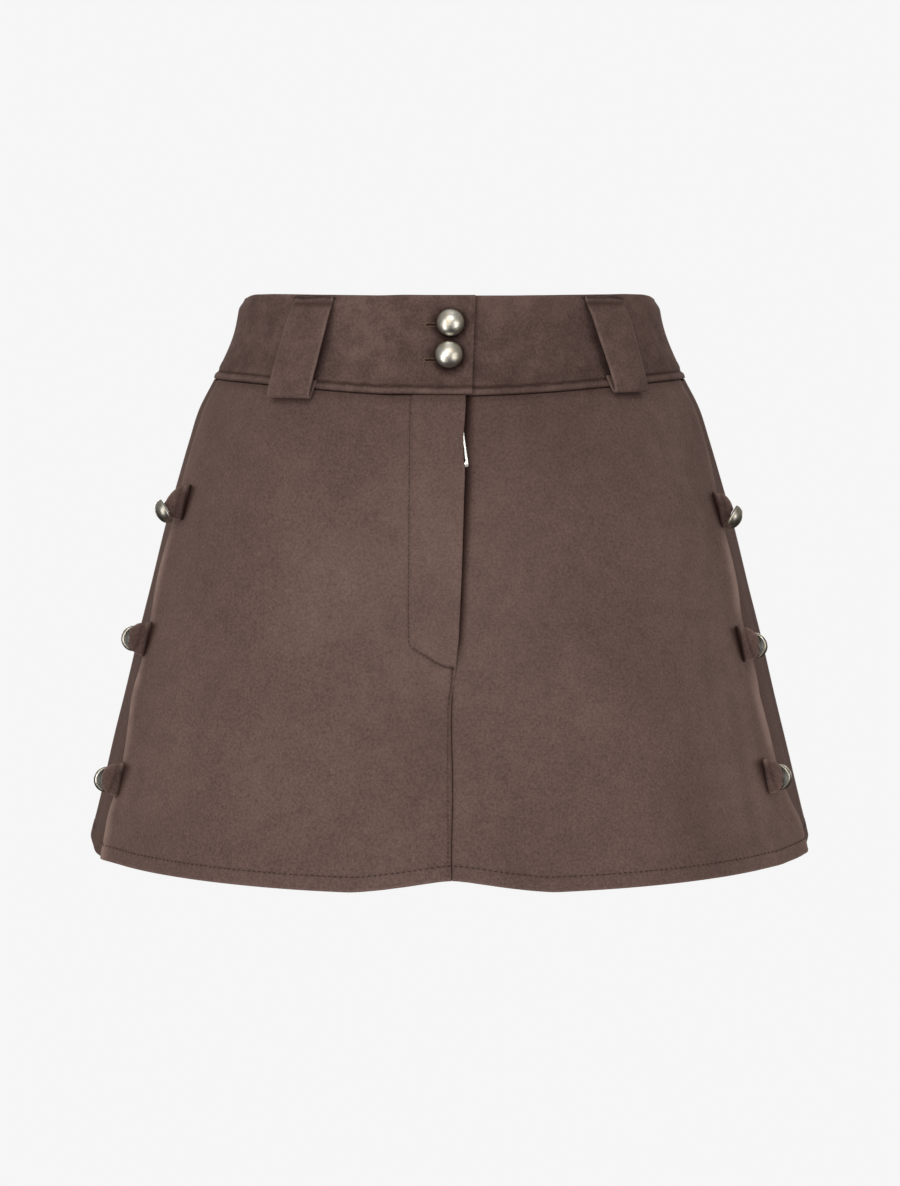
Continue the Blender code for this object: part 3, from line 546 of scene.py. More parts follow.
def mesh_object(name, points, faces, material):
    """A smooth mesh of points in mm."""
    mesh = bpy.data.meshes.new(name)
    mesh.from_pydata((np.asarray(points, float) * MM).tolist(), [], faces)
    mesh.materials.append(material)
    mesh.shade_smooth()
    return add_object(name, mesh)


def give_attribute(mesh, name, values):
    """Keeps a number, or a direction, for each point of the mesh."""
    kind, key = ("FLOAT", "value") if values.ndim == 1 else ("FLOAT_VECTOR", "vector")
    mesh.attributes.new(name, kind, "POINT").data.foreach_set(key, values.astype(np.float32).ravel())


def grid_faces(rows, columns, closed=False):
    """The four-sided faces of a grid, whose last column meets its first where it is closed."""
    wide = columns if closed else columns - 1
    return [
        (r * columns + c, (r + 1) * columns + c, (r + 1) * columns + (c + 1) % columns,
         r * columns + (c + 1) % columns)
        for r in range(rows - 1) for c in range(wide)
    ]  # fmt: skip


def cloth_from(name, grid, material, closed=False, **nap_and_painted_light):
    """A one-sided cloth of a grid, whose rows run to the right as seen from outside."""
    rows, columns = grid.shape[:2]
    made = mesh_object(name, grid.reshape(-1, 3), grid_faces(rows, columns, closed), material)
    places = np.stack([lengths_along(grid, 1), -lengths_along(grid, 0)], -1).reshape(-1, 2) * MM
    corners = np.zeros(len(made.data.loops), np.int32)
    made.data.loops.foreach_get("vertex_index", corners)
    uv = made.data.uv_layers.new(name="cloth")
    uv.data.foreach_set("uv", places[corners].astype(np.float32).ravel())
    for kind, share in nap_and_painted_light.items():
        give_attribute(made.data, kind, np.clip(np.broadcast_to(share, (rows, columns)), 0, 1).ravel())
    return made


print("points down a panel:", len(shares(PANEL_LONG, 1.9)), "and with a finer hem:",
      len(shares(PANEL_LONG, 1.9, ((PANEL_LONG, 18.0, 0.65),))))

# %% [markdown]
# Cloth has a thickness, and a turned edge is round. Solidify gives the wall, a narrow Bevel rounds its
# rim, and `settle` turns both into plain mesh, so that the mesh holds what is seen.


# %% Thickness, and settling modifiers
def settle(piece):
    """Turns the piece's modifiers into its mesh."""
    evaluated = piece.evaluated_get(bpy.context.evaluated_depsgraph_get())
    mesh = bpy.data.meshes.new_from_object(evaluated)
    piece.modifiers.clear()
    piece.data = mesh
    return piece


def edit_mesh(mesh, change):
    """Lets a function change a mesh as a bmesh."""
    loose = bmesh.new()
    loose.from_mesh(mesh)
    change(loose)
    loose.to_mesh(mesh)
    loose.free()


def face_outwards(loose):
    bmesh.ops.recalc_face_normals(loose, faces=loose.faces)


def give_thickness(piece, thickness, rounding, offset=-1.0, segments=2):
    """A wall of so many mm, inwards unless offset is 0, with a rounded rim."""
    wall = piece.modifiers.new("wall", "SOLIDIFY")
    wall.thickness, wall.offset = thickness * MM, offset
    if rounding:
        rim = piece.modifiers.new("rim", "BEVEL")
        rim.width, rim.segments = rounding * MM, segments
        rim.limit_method, rim.angle_limit = "ANGLE", math.radians(50)
        rim.harden_normals = False
    return settle(piece)


def smooth_by_angle(piece, degrees=50):
    """Smooth shading, but for edges that turn more than this."""
    piece.data.shade_smooth()
    piece.data.set_sharp_from_angle(angle=math.radians(degrees))
    return piece


def dress(piece, node, body=GARMENT):
    """Rides the piece on its body, in place of its CAD node."""
    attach(piece, body)
    if node:
        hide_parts(node)
    return piece


# %% [markdown]
# ## Stitches
#
# A lockstitch shows as a row of short dashes, each sunk at its ends where the thread dives through the
# cloth. That repeats along a path, so Geometry Nodes make it: the path becomes a curve, the curve is
# resampled at the stitch's pitch, and a small capsule of thread stands on each point, turned along the
# path and square to the cloth. The path's mesh carries the cloth's direction in an attribute. The zip's
# teeth repeat in the same way, so both trees end in the same nodes.


# %% A tree that repeats a thing along a path
def new_tree(name, inputs):
    """A Geometry Nodes tree with named inputs, and the node that gives them."""
    tree = bpy.data.node_groups.new(name, "GeometryNodeTree")
    for socket, kind in (("Geometry", "Geometry"), ("Pitch", "Float"), *inputs, ("Material", "Material")):
        tree.interface.new_socket(name=socket, in_out="INPUT", socket_type="NodeSocket" + kind)
    tree.interface.new_socket(name="Geometry", in_out="OUTPUT", socket_type="NodeSocketGeometry")
    return tree, add_node(tree, "NodeGroupInput")


def stand_on_path(tree, given, thing):
    """Stands the thing on the path at every pitch, along it and square to the cloth, and ends the tree."""
    curve = add_node(tree, "GeometryNodeMeshToCurve", {"Mesh": given.outputs["Geometry"]})
    spaced = add_node(tree, "GeometryNodeResampleCurve",
                      {"Curve": curve, "Length": given.outputs["Pitch"]}, mode="LENGTH")
    along = add_node(tree, "GeometryNodeInputTangent")
    square = add_node(tree, "GeometryNodeInputNamedAttribute", {"Name": "off_the_cloth"},
                      data_type="FLOAT_VECTOR")
    turned = add_node(tree, "FunctionNodeAlignRotationToVector", {"Vector": along}, axis="X")
    turned = add_node(tree, "FunctionNodeAlignRotationToVector",
                      {"Rotation": turned, "Vector": square.outputs["Attribute"]}, axis="Z", pivot_axis="X")
    placed = add_node(tree, "GeometryNodeInstanceOnPoints", {"Points": spaced, "Rotation": turned, **thing})
    real = add_node(tree, "GeometryNodeRealizeInstances", {"Geometry": placed})
    smooth = add_node(tree, "GeometryNodeSetShadeSmooth", {"Geometry": real})
    coloured = add_node(tree, "GeometryNodeSetMaterial",
                        {"Geometry": smooth, "Material": given.outputs["Material"]})
    add_node(tree, "NodeGroupOutput", {"Geometry": coloured})


def repeat_along(name, paths, tree, inputs):
    """Runs a tree on paths, each a pair of arrays: points in mm and directions off the cloth."""
    edges, start = [], 0
    for path, _ in paths:
        edges += [(start + i, start + i + 1) for i in range(len(path) - 1)]
        start += len(path)
    mesh = bpy.data.meshes.new(name)
    mesh.from_pydata((np.concatenate([path for path, _ in paths]) * MM).tolist(), edges, [])
    give_attribute(mesh, "off_the_cloth", np.concatenate([off for _, off in paths]))
    made = add_object(name, mesh)
    row = made.modifiers.new("row", "NODES")
    row.node_group = tree
    for item in tree.interface.items_tree:
        if item.item_type == "SOCKET" and item.in_out == "INPUT" and item.name in inputs:
            row[item.identifier] = inputs[item.name]
    return settle(made)


# %% The stitch tree
THREAD_SIDES, THREAD_RINGS = 6, 5
STITCH_POINTS = THREAD_SIDES * (THREAD_RINGS - 1) + 2


def make_stitch_tree():
    """A stitch is a ball of few faces, stretched to the stitch's length and the thread's width."""
    tree, given = new_tree("stitches_along_a_path", (("Stitch length", "Float"), ("Thread width", "Float")))
    ball = {"Segments": THREAD_SIDES, "Rings": THREAD_RINGS, "Radius": 0.5}
    capsule = add_node(tree, "GeometryNodeMeshUVSphere", ball)
    length, width = given.outputs["Stitch length"], given.outputs["Thread width"]
    size = add_node(tree, "ShaderNodeCombineXYZ", {"X": length, "Y": width, "Z": width})
    stand_on_path(tree, given, {"Instance": capsule, "Scale": size})
    return tree


STITCHES = make_stitch_tree()


def sew(name, paths, pitch, length, width, thread=THREAD):
    """Stitches along paths. Pitch, stitch length and thread width are in mm."""
    inputs = {"Pitch": pitch * MM, "Stitch length": length * MM, "Thread width": width * MM,
              "Material": thread}  # fmt: skip
    made = dress(repeat_along(name, paths, STITCHES, inputs), None)
    print(f"{name}: {len(made.data.vertices) // STITCH_POINTS} stitches")


print("stitch tree:", len(STITCHES.nodes), "nodes,", STITCH_POINTS, "points a stitch")

# %% [markdown]
# ## Front panels
#
# Two panels meet at a centre seam. The left one carries the fly: its folded edge stands off the right
# panel, with the zip beneath, and a J-shaped row of stitches holds the facing behind it. Every row of
# stitches pulls the cloth in, so it lies in a shallow groove with a soft swell on either side. The hem is
# turned up and stitched 8.5 mm above the edge. Between its closures, a free side edge rolls outwards.
# Functions of a place give the lift off the surface, and others the paler and darker marks there: partly nap
# and wear, partly painted highlight, shade and shadow.

# %% What is on the fronts, and where
# name, angle, height, how far the button is off the surface, its rise, how it hangs
CLOSURES = (
    ("l1", -68.3, -125.5, 12.4, -4.3, "endways"),
    ("l2", -71.3, -208.6, 8.7, 0.6, "behind"),
    ("l3", -67.7, -292.1, 9.8, 0.4, "behind"),
    ("r1", 69.8, -130.3, 8.6, -3.4, "endways"),
    ("r2", 65.2, -210.0, 8.6, -0.8, "behind"),
    ("r3", 62.7, -288.1, 9.2, -0.4, "behind"),
)
# name, angle, width at the top, width at the bottom, length
LOOPS = (
    ("belt_loop_front_l", -38.3, 26.0, 28.0, 62.6),
    ("belt_loop_front_r", 45.2, 27.5, 23.5, 59.4),
    ("belt_loop_back_l", -138.0, 27.0, 26.0, 61.0),
    ("belt_loop_back_r", 138.0, 27.0, 26.0, 61.0),
)
BAND_ARC = 2.25  # mm of cloth in a degree at the waist seam
HEM_STITCH = 8.5  # above the hem's edge
FLY_END = -214.0
FREE_SIDE, EDGE_SLANT = 55.0, 1.15
# x and height of the fly's row of stitches
FLY_STITCH = np.array([
    (-22.5, -58), (-22.8, -95), (-23.2, -140), (-23.4, -180), (-23.4, -198), (-23.1, -201.5), (-21.6, -203.6),
    (-18.0, -205.8), (-13.7, -208.3), (-9.6, -210.9), (-6.1, -212.9), (-2.0, -214.4), (2.4, -215.1),
], float)  # fmt: skip
SEAM_STITCH = np.array([(1.9, -215.5), (0.2, -230), (-0.9, -240), (-0.9, -331.5)], float)
print("closures:", len(CLOSURES), "belt loops:", len(LOOPS))


# %% How far the fronts stand off the surface
def distance_to(path, x, z):
    """Distance in mm from points to a line of x and height."""
    best = np.full(np.shape(x), 1e9)
    for start, end in zip(path[:-1], path[1:]):
        run = end - start
        share = np.clip(((x - start[0]) * run[0] + (z - start[1]) * run[1]) / (run @ run), 0, 1)
        best = np.minimum(best, np.hypot(x - start[0] - share * run[0], z - start[1] - share * run[1]))
    return best


def groove(distance, depth=0.4, reach=1.1):
    """A row of stitches: a shallow groove, and a low swell beside it."""
    return -depth * line_of(distance, reach) + 0.25 * depth * near(distance - 3.2, 3.0)


def hem_form(angle, z):
    """The hem: its row of stitches, the doubled cloth below it, and a small ripple from the sewing."""
    above = z - hem_height(angle)
    doubled = 0.25 * (1 - ease(above, HEM_STITCH - 0.5, HEM_STITCH + 1.5))
    ripple = 0.16 * np.sin(angle * 2.1 + 1.3 * np.sin(angle * 0.37)) * near(above - 4.0, 9.0)
    return groove(abs(above - HEM_STITCH)) + doubled + ripple


def front_x(angle, z):
    """How far a place is to the right."""
    return column_at(BODY, 1, z) * np.sin(np.radians(angle))


def inside_edge(angle, z, side):
    """How far a place is inside a front's free side edge, in mm of cloth."""
    return (column_at(SIDE_EDGE, side, z) - abs(angle)) * ARC_PER_DEGREE * EDGE_SLANT


def edge_roll(angle, z, side):
    """A free side edge rolls out over its last 16 mm and turns in at the very edge."""
    inside = inside_edge(angle, z, side)
    loose = 0.3 + 0.7 * ease(column_at(BILLOW, side, z), 0.3, 2.2)
    return loose * (1.7 * near(inside - 6.0, 9.0) - 1.1 * (1 - ease(inside, 0.0, 2.6)))


def wander(z):
    """How far the centre seam strays from straight."""
    return 0.35 * np.sin(z * 0.083) * ease(-z, 225.0, 245.0)


def seam_dip(off_seam, z):
    """The centre seam draws both edges in."""
    return -0.8 * (z < -212) * ease(-z, 212.0, 235.0) * (1 - ease(off_seam, 0.0, 2.4))


def hanging_front(angle, z, side):
    """What both fronts do: they drape, have a hem, and roll and billow along the free edge."""
    lift = drape(angle, z) + hem_form(angle, z) + edge_roll(angle, z, side) * (abs(angle) > FREE_SIDE)
    return lift + column_at(BILLOW, side, z) * ease(abs(angle), 60.0, 76.0)


def left_front_lift(angle, z):
    """The left front, with the fly standing off and its rows of stitches."""
    x = front_x(angle, z)
    lift = hanging_front(angle, z, 1) + column_at(CENTRE_FRONT, 3, z) * ease(x, *FLY_RISE)
    lift += groove(distance_to(FLY_STITCH, x, z), 0.6) * (x < 6)
    lift += groove(distance_to(SEAM_STITCH, x, z), 0.25) * (z < FLY_END)
    return lift + seam_dip(CENTRE_SEAM + wander(z) - x, z)


def right_front_lift(angle, z):
    """The right front, which is plain and runs on under the fly."""
    return hanging_front(angle, z, 2) + seam_dip(front_x(angle, z) - CENTRE_SEAM - wander(z), z)


fly_step = left_front_lift(2.0, -100.0) - right_front_lift(2.0, -100.0)
print("the fly stands off by", round(float(fly_step), 1), "mm")

# %% The fronts' nap, painted highlight and painted shade
# Soft patches of painted shade: x, height, and how dark the shade is painted.
SHADE_PATCHES = ((10.0, -300.0, 0.05), (-20.0, -262.0, 0.13))  # x, height, how pressed
PATCH_REACH = 60.0


def rub_near_edge(angle, z, side):
    """How much paler a front is: a painted highlight on the free edge's roll, painted light round the fly and
    towards the sides, and paler along the hem's fold.
    """
    loose = 0.25 + 0.75 * ease(column_at(BILLOW, side, z), 0.4, 1.6)
    # painted light round the fly and, stronger on the right, towards the sides
    painted_light_round_fly = 0.12 * near(np.hypot(front_x(angle, z), z + 185.0), 120.0)
    painted_light_at_sides = (0.05, 0.13)[side - 1] * ease(abs(angle), 36.0, 60.0)
    # a painted highlight along the free edge's roll
    edge = 0.75 * near(inside_edge(angle, z, side) - 6.0, 8.0) * loose
    return painted_light_round_fly + painted_light_at_sides + edge + 0.2 * (1 - ease(z - hem_height(angle), 0, 2))


def slit_shade(angle, z, side):
    """Painted shade and shadow beside each slit, towards the centre, widest at its top, where it gapes."""
    shade = 0.0
    for name, slit_angle, slit_z, *_ in CLOSURES:
        if (name[0] == "l") == (side == 1):
            inwards = (abs(slit_angle) - abs(angle)) * ARC_PER_DEGREE
            up = np.clip((z - slit_z + 10.0) / 20.0, 0, 1)
            window = ease(11.5 - abs(z - slit_z), 0.0, 3.0)
            shade = shade + 1.1 * window * (inwards > -1.5) * (1 - ease(inwards, 0.5, 7.0 + 9.0 * up))
    return shade


def pressed_front(angle, z, side):
    """How dark a front is: nap flattened along seams and stitches, and painted shade and shadow below the
    band, under the loops and the fly's edge, beside the slits, towards the top and in soft patches.
    """
    x = front_x(angle, z)
    pressed = 0.1 * line_of(z - hem_height(angle) - HEM_STITCH, 0.7)
    # painted shade just below the waist band
    pressed += 0.26 * (1 - ease(below_seam(angle) - z, 0.0, 6.0))
    pressed += 0.36 * (z < FLY_END) * line_of(x - CENTRE_SEAM - wander(z), 0.8)
    # painted shade, darker towards the top
    pressed += 0.1 * (1 - ease(-z, 60.0, 165.0))
    for patch_x, patch_z, share in SHADE_PATCHES:
        pressed += share * near(np.hypot(x - patch_x, z - patch_z), PATCH_REACH)
    # painted shadow under the bottom end of each front loop
    for _, middle, _, wide, long in LOOPS[:2]:
        beside = abs(angle - middle) * BAND_ARC - wide / 2
        pressed += 0.5 * (1 - ease(beside, -3.0, 1.0)) * near(z + long + 0.6, 3.6)
    if side == 1:
        # darker along the rows of stitches: flattened nap, with painted shade in their grooves
        strength = 0.14 + 0.5 * ease(-z, 202.0, 210.0)
        pressed += strength * line_of(distance_to(FLY_STITCH, x, z), 0.8) * (x < 6)
        pressed += 0.3 * line_of(distance_to(SEAM_STITCH, x, z), 0.7) * (1 - 0.8 * ease(-z, 236.0, 246.0))
    else:
        # painted shadow of the fly's edge on the right front, and painted shade at its top
        from_fly = np.where(z > FLY_END, x - column_at(CENTRE_FRONT, 1, z), 9.0)
        wide = 6.5 - 1.3 * ease(-z, 120.0, 200.0)
        pressed += 0.85 * (1 - ease(from_fly, 0.0, wide)) * (1 - ease(-z, 196.0, 218.0))
        pressed += 0.1 * (1 - ease(-z, 70.0, 220.0)) * (1 - ease(x, 50.0, 110.0))
    return pressed + slit_shade(angle, z, side)


print("nap at the fly's foot:", round(float(pressed_front(-2.0, -214.5, 1)), 2), "of fully pressed")

# %% Cut the fronts
# finer at the seams, at the hem and along the fly's stitches
HALF_FRONT, FLY_CURVE_DOWN, FLY_ROW_ACROSS = 175.0, 153.0, 151.0
ROWS = shares(PANEL_LONG, 1.9, ((0.0, 8.0, 0.9), (FLY_CURVE_DOWN, 18.0, 0.65), (PANEL_LONG, 18.0, 0.65)))
LEFT_ACROSS = shares(
    HALF_FRONT, 1.8, ((0.0, 8.0, 0.7), (FLY_ROW_ACROSS, 14.0, 0.65), (HALF_FRONT, 10.0, 0.6))
)
RIGHT_ACROSS = shares(HALF_FRONT, 1.8, ((0.0, 6.0, 0.6), (HALF_FRONT, 8.0, 0.7)))
CLOTH = 1.3


def centre_edge(side):
    """A front's inner edge, as an angle at a height."""
    return lambda z: angle_of_x(column_at(CENTRE_FRONT, side, z) + wander(z), z)


def free_edge(side, sign):
    """A front's outer edge."""
    return lambda z: sign * column_at(SIDE_EDGE, side, z)


FRONTS = (
    ("front_left", "l", 1, (free_edge(1, -1), centre_edge(1)), left_front_lift, LEFT_ACROSS),
    ("front_right", "r", 2, (centre_edge(2), free_edge(2, 1)), right_front_lift, RIGHT_ACROSS),
)
fronts = []
for name, letter, side, edges, lift_of, across in FRONTS:
    places = panel(*edges, below_seam, lambda angle, side=side: front_hem(angle, side), across, ROWS)
    grid = skin(*places, lift_of(*places))
    nap_and_painted_light = {"rub": rub_near_edge(*places, side), "pressed": pressed_front(*places, side)}
    piece = give_thickness(cloth_from(name, grid, SUEDE, **nap_and_painted_light), CLOTH, 0.45)
    fronts.append((piece, letter, side, grid))
    print(name, len(piece.data.polygons), "faces")

# %% [markdown]
# ## Slits for the closures
#
# Three tongues a side come out through slits near the free edge. The pull of a tongue makes its slit
# gape at the top, on the side towards the centre. A wedge cuts each slit out of the finished wall with a
# Boolean, which works here because the wall is closed.

# %% Cut the slits
TAB_WIDTH, TAB_THICK, SLIT_GAPE = 20.0, 1.8, 1.2
UPRIGHT = np.array([0.0, 0.0, 1.0])


def closure_frame(angle, z):
    """A closure's foot on the surface, its heading straight out, and the way to the back."""
    square = outward(angle, z)
    heading = unit(square * (1, 1, 0))
    side = 1.0 if angle > 0 else -1.0
    backward = np.array([-heading[1] * side, heading[0] * side, 0.0])
    return base_point(angle, z), square, heading, backward, side


def slit_cutter(name, angle, z):
    """A wedge through the cloth, a little larger than the tongue."""
    foot, _, heading, backward, _ = closure_frame(angle, z)
    half, deep, tall = TAB_THICK / 2 + 0.4, 8.0, TAB_WIDTH / 2 + 0.5
    gape = {(-1, 1): SLIT_GAPE}  # towards the centre, at the top
    points = [
        foot + backward * (x * half - gape.get((x, up), 0.0)) + heading * y * deep + UPRIGHT * up * tall
        for x in (-1, 1) for y in (-1, 1) for up in (-1, 1)
    ]  # fmt: skip
    faces = [(0, 1, 3, 2), (4, 6, 7, 5), (0, 4, 5, 1), (2, 3, 7, 6), (0, 2, 6, 4), (1, 5, 7, 3)]
    cutter = mesh_object("slit_" + name, points, faces, SUEDE)
    edit_mesh(cutter.data, face_outwards)
    return cutter


def cut_slits(front, letter):
    cutters = [slit_cutter(*row[:3]) for row in CLOSURES if row[0][0] == letter]
    for cutter in cutters:
        slit = front.modifiers.new(cutter.name, "BOOLEAN")
        slit.operation, slit.object, slit.solver = "DIFFERENCE", cutter, "EXACT"
    settle(front)
    for cutter in cutters:
        bpy.data.objects.remove(cutter)
    smooth_by_angle(front)


def mark_again(front, side):
    """A Boolean gives its new points none of the paler and darker marks, so each point of the cut front reads
    its own again.
    """
    points = np.zeros(len(front.data.vertices) * 3)
    front.data.vertices.foreach_get("co", points)
    x, y, z = points.reshape(-1, 3).T / MM
    angle = np.degrees(np.arctan2(x / column_at(BODY, 1, z), -y / column_at(BODY, 2, z)))
    for kind, share in (("pressed", pressed_front(angle, z, side)), ("rub", rub_near_edge(angle, z, side))):
        front.data.attributes[kind].data.foreach_set("value", np.clip(share, 0, 1).astype(np.float32))


for piece, letter, side, grid in fronts:
    cut_slits(piece, letter)
    mark_again(piece, side)
    dress(piece, "front_panel_" + letter)

# %% [markdown]
# ## What closes a seam from behind
#
# Two panels sewn together are joined a little inside their edges, and what is left over, the allowances,
# is pressed open behind the seam. One thin strip that lies against both panels stands for the pair. It
# also keeps daylight out of the seam.


# %% Seam allowances
STRIP_THICK, STRIP_OFF = 0.8, 0.15


def seam_strip(name, angles, top, bottom, lift_of):
    """A strip from one angle to another, just inside the panels."""
    heights = np.linspace(top, bottom, 90)[:, None]
    angle = angles[0] + (angles[1] - angles[0]) * np.linspace(0, 1, 13)[None, :] + 0 * heights
    z = heights + 0 * angle
    grid = skin(angle, z, lift_of(as_signed(angle), z) - CLOTH - STRIP_OFF)
    piece = cloth_from(name, grid, SUEDE, pressed=0.35)
    give_thickness(piece, STRIP_THICK, 0.0)
    dress(piece, None)


def as_signed(angle):
    """The same angle from -180 to 180, for seams and folds that are given so."""
    return (angle + 180.0) % 360.0 - 180.0


def both_fronts(angle, z):
    return np.where(front_x(angle, z) < CENTRE_SEAM, left_front_lift(angle, z), right_front_lift(angle, z))


seam_strip("seam_front", (-1.2, 2.0), -224.0, -334.3, both_fronts)

# %% [markdown]
# ## Back panels
#
# The back is two panels with a centre seam. At each side it has a margin that tucks in under the front's
# free edge; the tongues are sewn to it. The photograph doesn't show the back, so it has plain seams, the
# same hem, and folds of the same sort as the front's.


# %% Cut the backs
def back_lift(angle, z):
    """A back hangs like a front, and its margin lies flat under the front, deepest round the tongues."""
    seen = ease(abs(angle), 82.0, 92.0)
    lift = folds(angle, z) * ease(abs(angle), 84.0, 92.0) - UNDERLAP * (1 - ease(abs(angle), 80.5, 88.0))
    lift += (1.6 * creases(angle, z) + undulation(angle, z)) * below_waist(z) * seen
    for _, tongue_angle, tongue_z, *_ in CLOSURES:
        aside = (angle - tongue_angle) * ARC_PER_DEGREE
        lift = lift - 1.0 * near(np.hypot(aside, z - tongue_z), 15.0)
    off_seam = (180 - abs(angle)) * ARC_PER_DEGREE
    lift = lift - 0.9 * (1 - ease(off_seam, 0.0, 2.2)) + groove(abs(off_seam - 2.2), 0.25) * seen
    return lift + hem_form(angle, z) * seen


def back_nap_and_shade(angle, z):
    """The back darker: painted shade on the margin under the fronts, a painted shadow just beyond each
    front's edge, and darker lines at the centre seam and the hem's stitches; paler along the hem's fold.
    """
    off_seam = (180 - abs(angle)) * ARC_PER_DEGREE
    side = np.where(angle < 0, column_at(SIDE_EDGE, 1, z), column_at(SIDE_EDGE, 2, z))
    off_edge = (abs(angle) - side) * ARC_PER_DEGREE
    pressed = 0.28 * (1 - ease(abs(angle), 86.0, 100.0)) + 0.5 * (1 - ease(off_edge, 0.5, 7.0))
    pressed += 0.5 * line_of(off_seam, 0.8) + 0.1 * line_of(z - hem_height(angle) - HEM_STITCH, 0.7)
    return {"pressed": pressed, "rub": 0.2 * (1 - ease(z - hem_height(angle), 0, 2))}


BACK_WIDE = 320.0
BACK_ACROSS = shares(BACK_WIDE, 2.3, ((0.0, 8.0, 1.0), (BACK_WIDE, 8.0, 0.7)))
BACK_ROWS = shares(PANEL_LONG, 2.3, ((0.0, 8.0, 1.0), (PANEL_LONG, 18.0, 0.8)))


def centre_back(sign):
    """The edge of a back at the centre seam."""
    return lambda z: sign * angle_of_x(GAP / 2, z, behind=True)


def back_margin(sign):
    """The edge of a back under a front's free edge."""
    return lambda z: sign * BACK_MARGIN + 0 * z


for side, sign in (("l", -1), ("r", 1)):
    edges = (centre_back(sign), back_margin(sign))[::-sign]
    across = 1 - BACK_ACROSS[::-1] if sign < 0 else BACK_ACROSS
    places = panel(*edges, below_seam, hem_height, across, BACK_ROWS)
    grid = skin(*places, back_lift(*places))
    piece = cloth_from("back_" + side, grid, SUEDE, **back_nap_and_shade(*places))
    give_thickness(piece, CLOTH, 0.45)
    smooth_by_angle(piece)
    dress(piece, "back_panel_" + side)

seam_strip("seam_back", (178.2, 181.8), -54.0, -340.0, back_lift)

# %% [markdown]
# ## Waistband
#
# The band is a doubled, shaped strip, 52 mm deep. Its left end laps over its right end and takes the two
# buttons. Along its lower edge runs a row of stitches 4.7 mm above the seam, and the strip between the
# two stands up like a cord. Its top is a fold, so it gets a wider rounding than a cut edge, and it leans
# in a little at the sides, where the band turns round the body.

# %% Sew the band
LOOP_STAND = 8.2
# node, x, height
FRONT_BUTTONS = (("front_button_upper", 0.5, -19.1), ("front_button_lower", -0.4, -37.9))
BUTTON_RADIUS, SIDE_BUTTON_RADIUS = 8.6, 7.8
LAP_END, LAP_UNDER, LAP_RISE, BAND_SEAM = (15.2, 13.2), -20.0, (-44.0, -25.0), 92.0
BAND_THICK, BAND_PROUD, BAND_STITCH, CORD = 2.5, 0.5, 4.7, 2.2


def lap_end(z):
    """The angle where the left end of the band laps to."""
    share = np.clip(-z / BAND_DEPTH, 0, 1)
    return angle_of_x(LAP_END[0] + (LAP_END[1] - LAP_END[0]) * share, z)


def band_lift(angle, z, lapped):
    """The band: its lap over the right end, the groove and cord above the seam, and its lean at the sides."""
    x = front_x(np.clip(angle, -90, 90), z)
    lift = BAND_PROUD + (BAND_THICK + GAP) * ease(x, *LAP_RISE) * lapped * (angle < 30)
    above, below_top = z - seam_height(angle), band_top(angle) - z
    lift = lift + groove(abs(above - BAND_STITCH - uneven(angle, 0.35)), 0.8, 0.9)
    lift = lift + 0.35 * near(above - CORD, 2.4)
    lift = lift - 2.6 * (1 - ease(below_top, 0.0, 7.5)) * ease(abs(np.sin(np.radians(angle))), 0.8, 1.0)
    return lift + 0.45 * undulation(angle * 1.7 + 40, z * 1.6)


# x and height of the crease across the lap's top corner
LAP_CREASE = np.array([(6.5, -3.4), (10.5, -4.2), (13.2, -7.0), (14.2, -12.0), (14.0, -18.0)], float)


def loop_shade(angle, z):
    """Painted shade on the band beside a loop's edge, on the side towards the centre front, where the loop
    stands off.
    """
    shade = 0.0
    for _, middle, top_width, bottom_width, length in LOOPS:
        half = (top_width + (bottom_width - top_width) * np.clip(-z / length, 0, 1)) / 2
        lean = LOOP_STAND * abs(math.sin(math.radians(middle))) * ease(-z, 4.0, 16.0) / ARC_PER_DEGREE
        edge = abs(middle) + (lean if abs(middle) < 90 else 0.0) - half / BAND_ARC
        off = (edge - abs(angle)) * BAND_ARC
        shade = shade + 0.6 * (angle * middle > 0) * (off > -6) * (1 - ease(off, -1.0, 3.0)) * (off < 6)
    return shade * ease(-z, 2.0, 8.0)


def uneven(angle, size):
    """Small, seeded unevenness along a seam."""
    return size * (np.sin(angle * 3.1 + 1.0) + np.sin(angle * 7.7) + np.sin(angle * 1.37 + 2.0)) / 3


def band_nap_and_shade(angle, z, lapped):
    """The band darker along its seam and its row of stitches and a little above them, with painted shade
    beside the loops, in the crease at the lap's corner and round the buttons; paler at its top fold, with a
    painted highlight on the cord.
    """
    above, x = z - seam_height(angle), front_x(np.clip(angle, -90, 90), z)
    stitched = above - BAND_STITCH - uneven(angle, 0.35)
    pressed = (0.62 + uneven(angle * 2.3, 0.2)) * line_of(stitched, 0.7) + 0.5 * line_of(above, 0.8) + 0.15
    pressed += 0.08 * (1 - lapped) * (abs(angle) < 92) + 0.1 * near(above - 9.0, 9.0) + loop_shade(angle, z)
    if lapped:
        # painted shade in the crease across the lap's corner
        pressed += 0.3 * line_of(distance_to(LAP_CREASE, x, z), 1.0)
        for _, x_middle, z_middle in FRONT_BUTTONS:
            # a painted shadow ring round each front button
            pressed += 0.75 * near(np.hypot(x - x_middle, z - z_middle + 0.5) - 8.2, 3.6)
    # paler at the top fold, and a painted highlight on the cord
    rub = 0.18 * (1 - ease(band_top(angle) - z, 0, 2.5)) + 0.1 * near(above - CORD, 2.0)
    return {"pressed": pressed, "rub": rub, "brushed": 1.0}


DOWN_BAND = shares(54.0, 2.0, ((0.0, 4.0, 0.8), (54.0, 9.0, 0.6)))


def side_seam(angle):
    """The band's pieces meet at the sides, edge to edge."""
    return lambda z: angle + 0 * z


